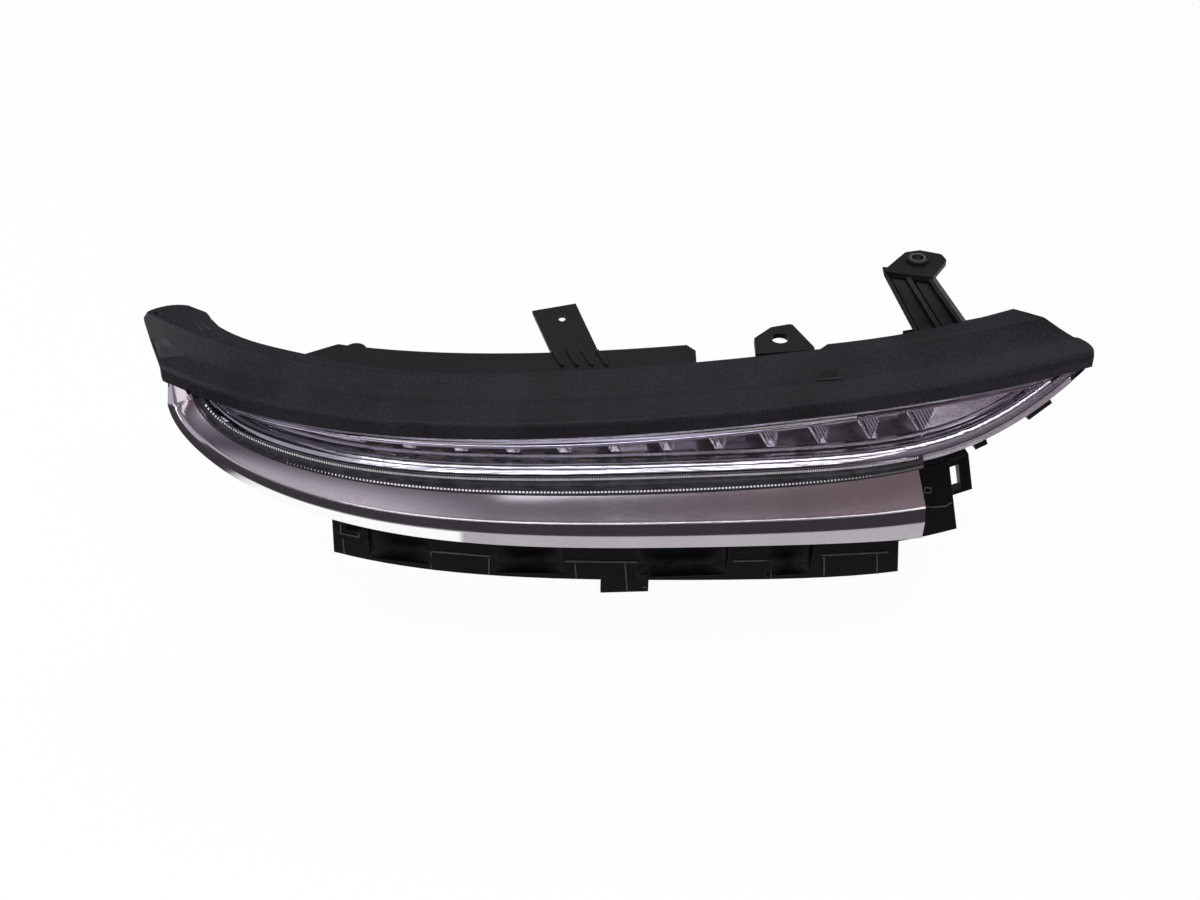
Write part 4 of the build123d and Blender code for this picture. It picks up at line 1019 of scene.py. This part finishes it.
# The bracket's ribs and lips are grey: painted highlights of their lit edges
rib(
    "bracket_ribs", "lower_bracket",
    [
        [(341, 523), (340.5, 533), (359, 537), (360, 524)],
        [(343, 538), (345, 557)],
        [(431, 552), (431, 577)],
        [(489, 558), (489, 584)],
        [(575, 563), (577, 588)],
        [(625, 563), (627, 590)],
        [(771, 562), (771, 588)],
        [(824, 557), (824, 584)],
        [(877, 554), (877, 580)],
    ],
    0.8, 0.5, rib_highlight_grey, "bracket_black",
)
rib(
    "bracket_lips", "lower_bracket",
    [
        [(377, 566), (428, 574)],
        [(500, 582), (562, 586)],
        [(643, 587), (735, 587)],
        [(783, 584), (822, 581)],
        [(430, 551), (490, 556)],
        [(562, 561), (640, 562)],
        [(733, 561), (772, 560)],
        [(822, 555), (888, 552)],
    ],
    0.8, 0.6, rib_highlight_grey, "bracket_black",
)
rib(
    "end_block_ribs", "lower_bracket",
    [
        [(917, 503), (930, 507), (945, 506), (955, 500)],
        [(925, 487), (931, 488), (930, 493), (924, 492), (925, 487)],
    ],
    0.9, 0.5, rib_highlight_grey, "bracket_black",
)
# The chevrons are near white: painted glints on the bright reflector
rib(
    "left_chevrons", "reflector",
    [[(226, 411), (255, 417)], [(244, 426), (267, 426)], [(259, 419), (273, 435)], [(253, 431), (287, 443)]],
    1.7, 1.5, painted_glint_white, "reflector_bright",
)

# A white floor that shows mostly as plain white and keeps a little of the lamp's shadow
FLOOR_REACH, FLOOR_GLOW = 30.0, 0.95
floor_mesh = bpy.data.meshes.new("studio_floor")
floor_height = LENS_MIDDLE.z - FLOOR_DROP
floor_mesh.from_pydata(
    [(x * FLOOR_REACH, y * FLOOR_REACH, floor_height) for x, y in ((-1, -1), (1, -1), (1, 1), (-1, 1))],
    [], [(0, 1, 2, 3)],
)
studio_floor = placed("studio_floor", floor_mesh)
paper = Finish("white_paper")
ray = paper.node("ShaderNodeLightPath", out="Is Camera Ray")
shown = ray.worked("MAXIMUM", ray, ray.output("Is Glossy Ray"))
shown = ray.worked("MAXIMUM", shown, ray.output("Is Transmission Ray"))
fibres = paper.noise(paper.place(), 240.0, 3.0)
lit = paper.node(
    "ShaderNodeBsdfPrincipled",
    None,
    {
        "Base Color": paper.blend(fibres, (0.90, 0.90, 0.90, 1.0), (0.94, 0.94, 0.94, 1.0)),
        "Roughness": 1.0,
        "Specular IOR Level": 0.0,
    },
)
glow = paper.node("ShaderNodeEmission", None, {"Color": (1.0, 1.0, 1.0, 1.0), "Strength": 1.0})
paper.surface(paper.node("ShaderNodeMixShader", None, {0: shown * FLOOR_GLOW, 1: lit, 2: glow}))
floor_mesh.materials.append(paper.material)

# A dark card, hidden from the camera, lies in front and on the left, so that the bright strip shows its dark band
CARD_EDGE = (
    (3.0, -3.0), (3.0, -0.10), (0.30, -0.14), (0.18, -0.165), (0.08, -0.19), (0.0, -0.205), (-0.10, -0.205),
    (-0.20, -0.175), (-0.29, -0.10), (-0.34, 0.0), (-0.36, 0.3), (-3.0, 0.3), (-3.0, -3.0),
)
CARD_LIFT = 0.004
CARD_PALES = (0.55, 0.9)
card_mesh = bpy.data.meshes.new("dark_card")
card_height = floor_height + CARD_LIFT
card_mesh.from_pydata([(x, y, card_height) for x, y in CARD_EDGE], [], [tuple(range(len(CARD_EDGE)))])
dark_card = placed("dark_card", card_mesh)
felt = Finish("dark_felt")
nap = felt.noise(felt.place(), 300.0, 4.0)
near = felt.blend(nap, (0.04, 0.037, 0.042, 1.0), (0.07, 0.066, 0.074, 1.0))
ahead = felt.node("ShaderNodeSeparateXYZ", None, {0: felt.place()}, out="Y")
far = felt.ramp(0 - ahead, *CARD_PALES)
felt.principled({"Base Color": felt.blend(far, near, (0.16, 0.15, 0.165, 1.0)), "Roughness": 0.9})
card_mesh.materials.append(felt.material)
dark_card.visible_camera = False
dark_card.visible_shadow = False
dark_card.visible_diffuse = False

# A dim room, paler low on the left and warmer on the right
studio = bpy.data.worlds.new("soft_studio")
studio.use_nodes = True
bpy.context.scene.world = studio
room = Finish("soft_studio", studio.node_tree)
way_out = room.node("ShaderNodeTexCoord", out="Generated")
across = room.node("ShaderNodeSeparateXYZ", None, {0: way_out}, out="X")
height = across.output("Z")
walls = room.node(
    "ShaderNodeValToRGB",
    {
        "stops": (
            (0.00, (0.50, 0.49, 0.50, 1.0)),
            (0.33, (0.12, 0.11, 0.12, 1.0)),
            (0.47, (0.20, 0.19, 0.21, 1.0)),
            (0.50, (0.34, 0.32, 0.35, 1.0)),
            (0.53, (0.31, 0.29, 0.32, 1.0)),
            (0.58, (0.27, 0.25, 0.28, 1.0)),
            (0.65, (0.21, 0.19, 0.22, 1.0)),
            (0.72, (0.17, 0.15, 0.18, 1.0)),
            (0.80, (0.31, 0.29, 0.33, 1.0)),
            (0.93, (0.58, 0.57, 0.61, 1.0)),
            (1.00, (0.70, 0.69, 0.73, 1.0)),
        )
    },
    {0: height * 0.5 + 0.5},
)
low_left = room.ramp(0 - across, 0.02, 0.50) * (1 - room.ramp(height, 0.12, 0.42))
paler = room.blend(low_left * 0.9, walls, (1.0, 0.97, 1.02, 1.0))
warmer = room.blend(room.ramp(across, 0.10, 0.45) * 0.75, paler, (0.24, 0.155, 0.155, 1.0))
background = room.node("ShaderNodeBackground", None, {"Color": warmer, "Strength": 1.0})
room.node("ShaderNodeOutputWorld", None, {"Surface": background})


def soft_light(name, azimuth, elevation, distance, size, power):
    """A soft box that looks at the lens's middle; azimuth is counted from the front, to the right."""
    lamp = bpy.data.lights.new(name, "AREA")
    lamp.shape = "RECTANGLE"
    lamp.size, lamp.size_y = size
    lamp.energy = power
    made = placed(name, lamp)
    side, rise = math.radians(azimuth), math.radians(elevation)
    way = Vector((math.sin(side) * math.cos(rise), -math.cos(side) * math.cos(rise), math.sin(rise)))
    made.location = LENS_MIDDLE + way * distance
    made.rotation_euler = (-way).to_track_quat("-Z", "Y").to_euler()


soft_light("front_box", 0.0, 64.0, 1.6, (1.5, 0.50), 12.0)
soft_light("left_box", -100.0, 22.0, 1.6, (0.6, 0.6), 8.0)
soft_light("low_box", 0.0, -1.0, 2.2, (3.0, 0.08), 6.0)
soft_light("right_box", 17.0, 19.5, 2.2, (1.8, 0.30), 2.9)
soft_light("back_box", 165.0, 55.0, 1.8, (1.4, 0.6), 6.0)

view = bpy.data.cameras.new("picture_camera")
view.lens = VIEW_LENS
view.sensor_width = VIEW_SENSOR
camera = placed("picture_camera", view)
camera.location = eye
camera.rotation_euler = (math.radians(90.0 - VIEW_TILT), 0.0, 0.0)
bpy.context.scene.camera = camera
bpy.context.scene.view_settings.view_transform = "Standard"
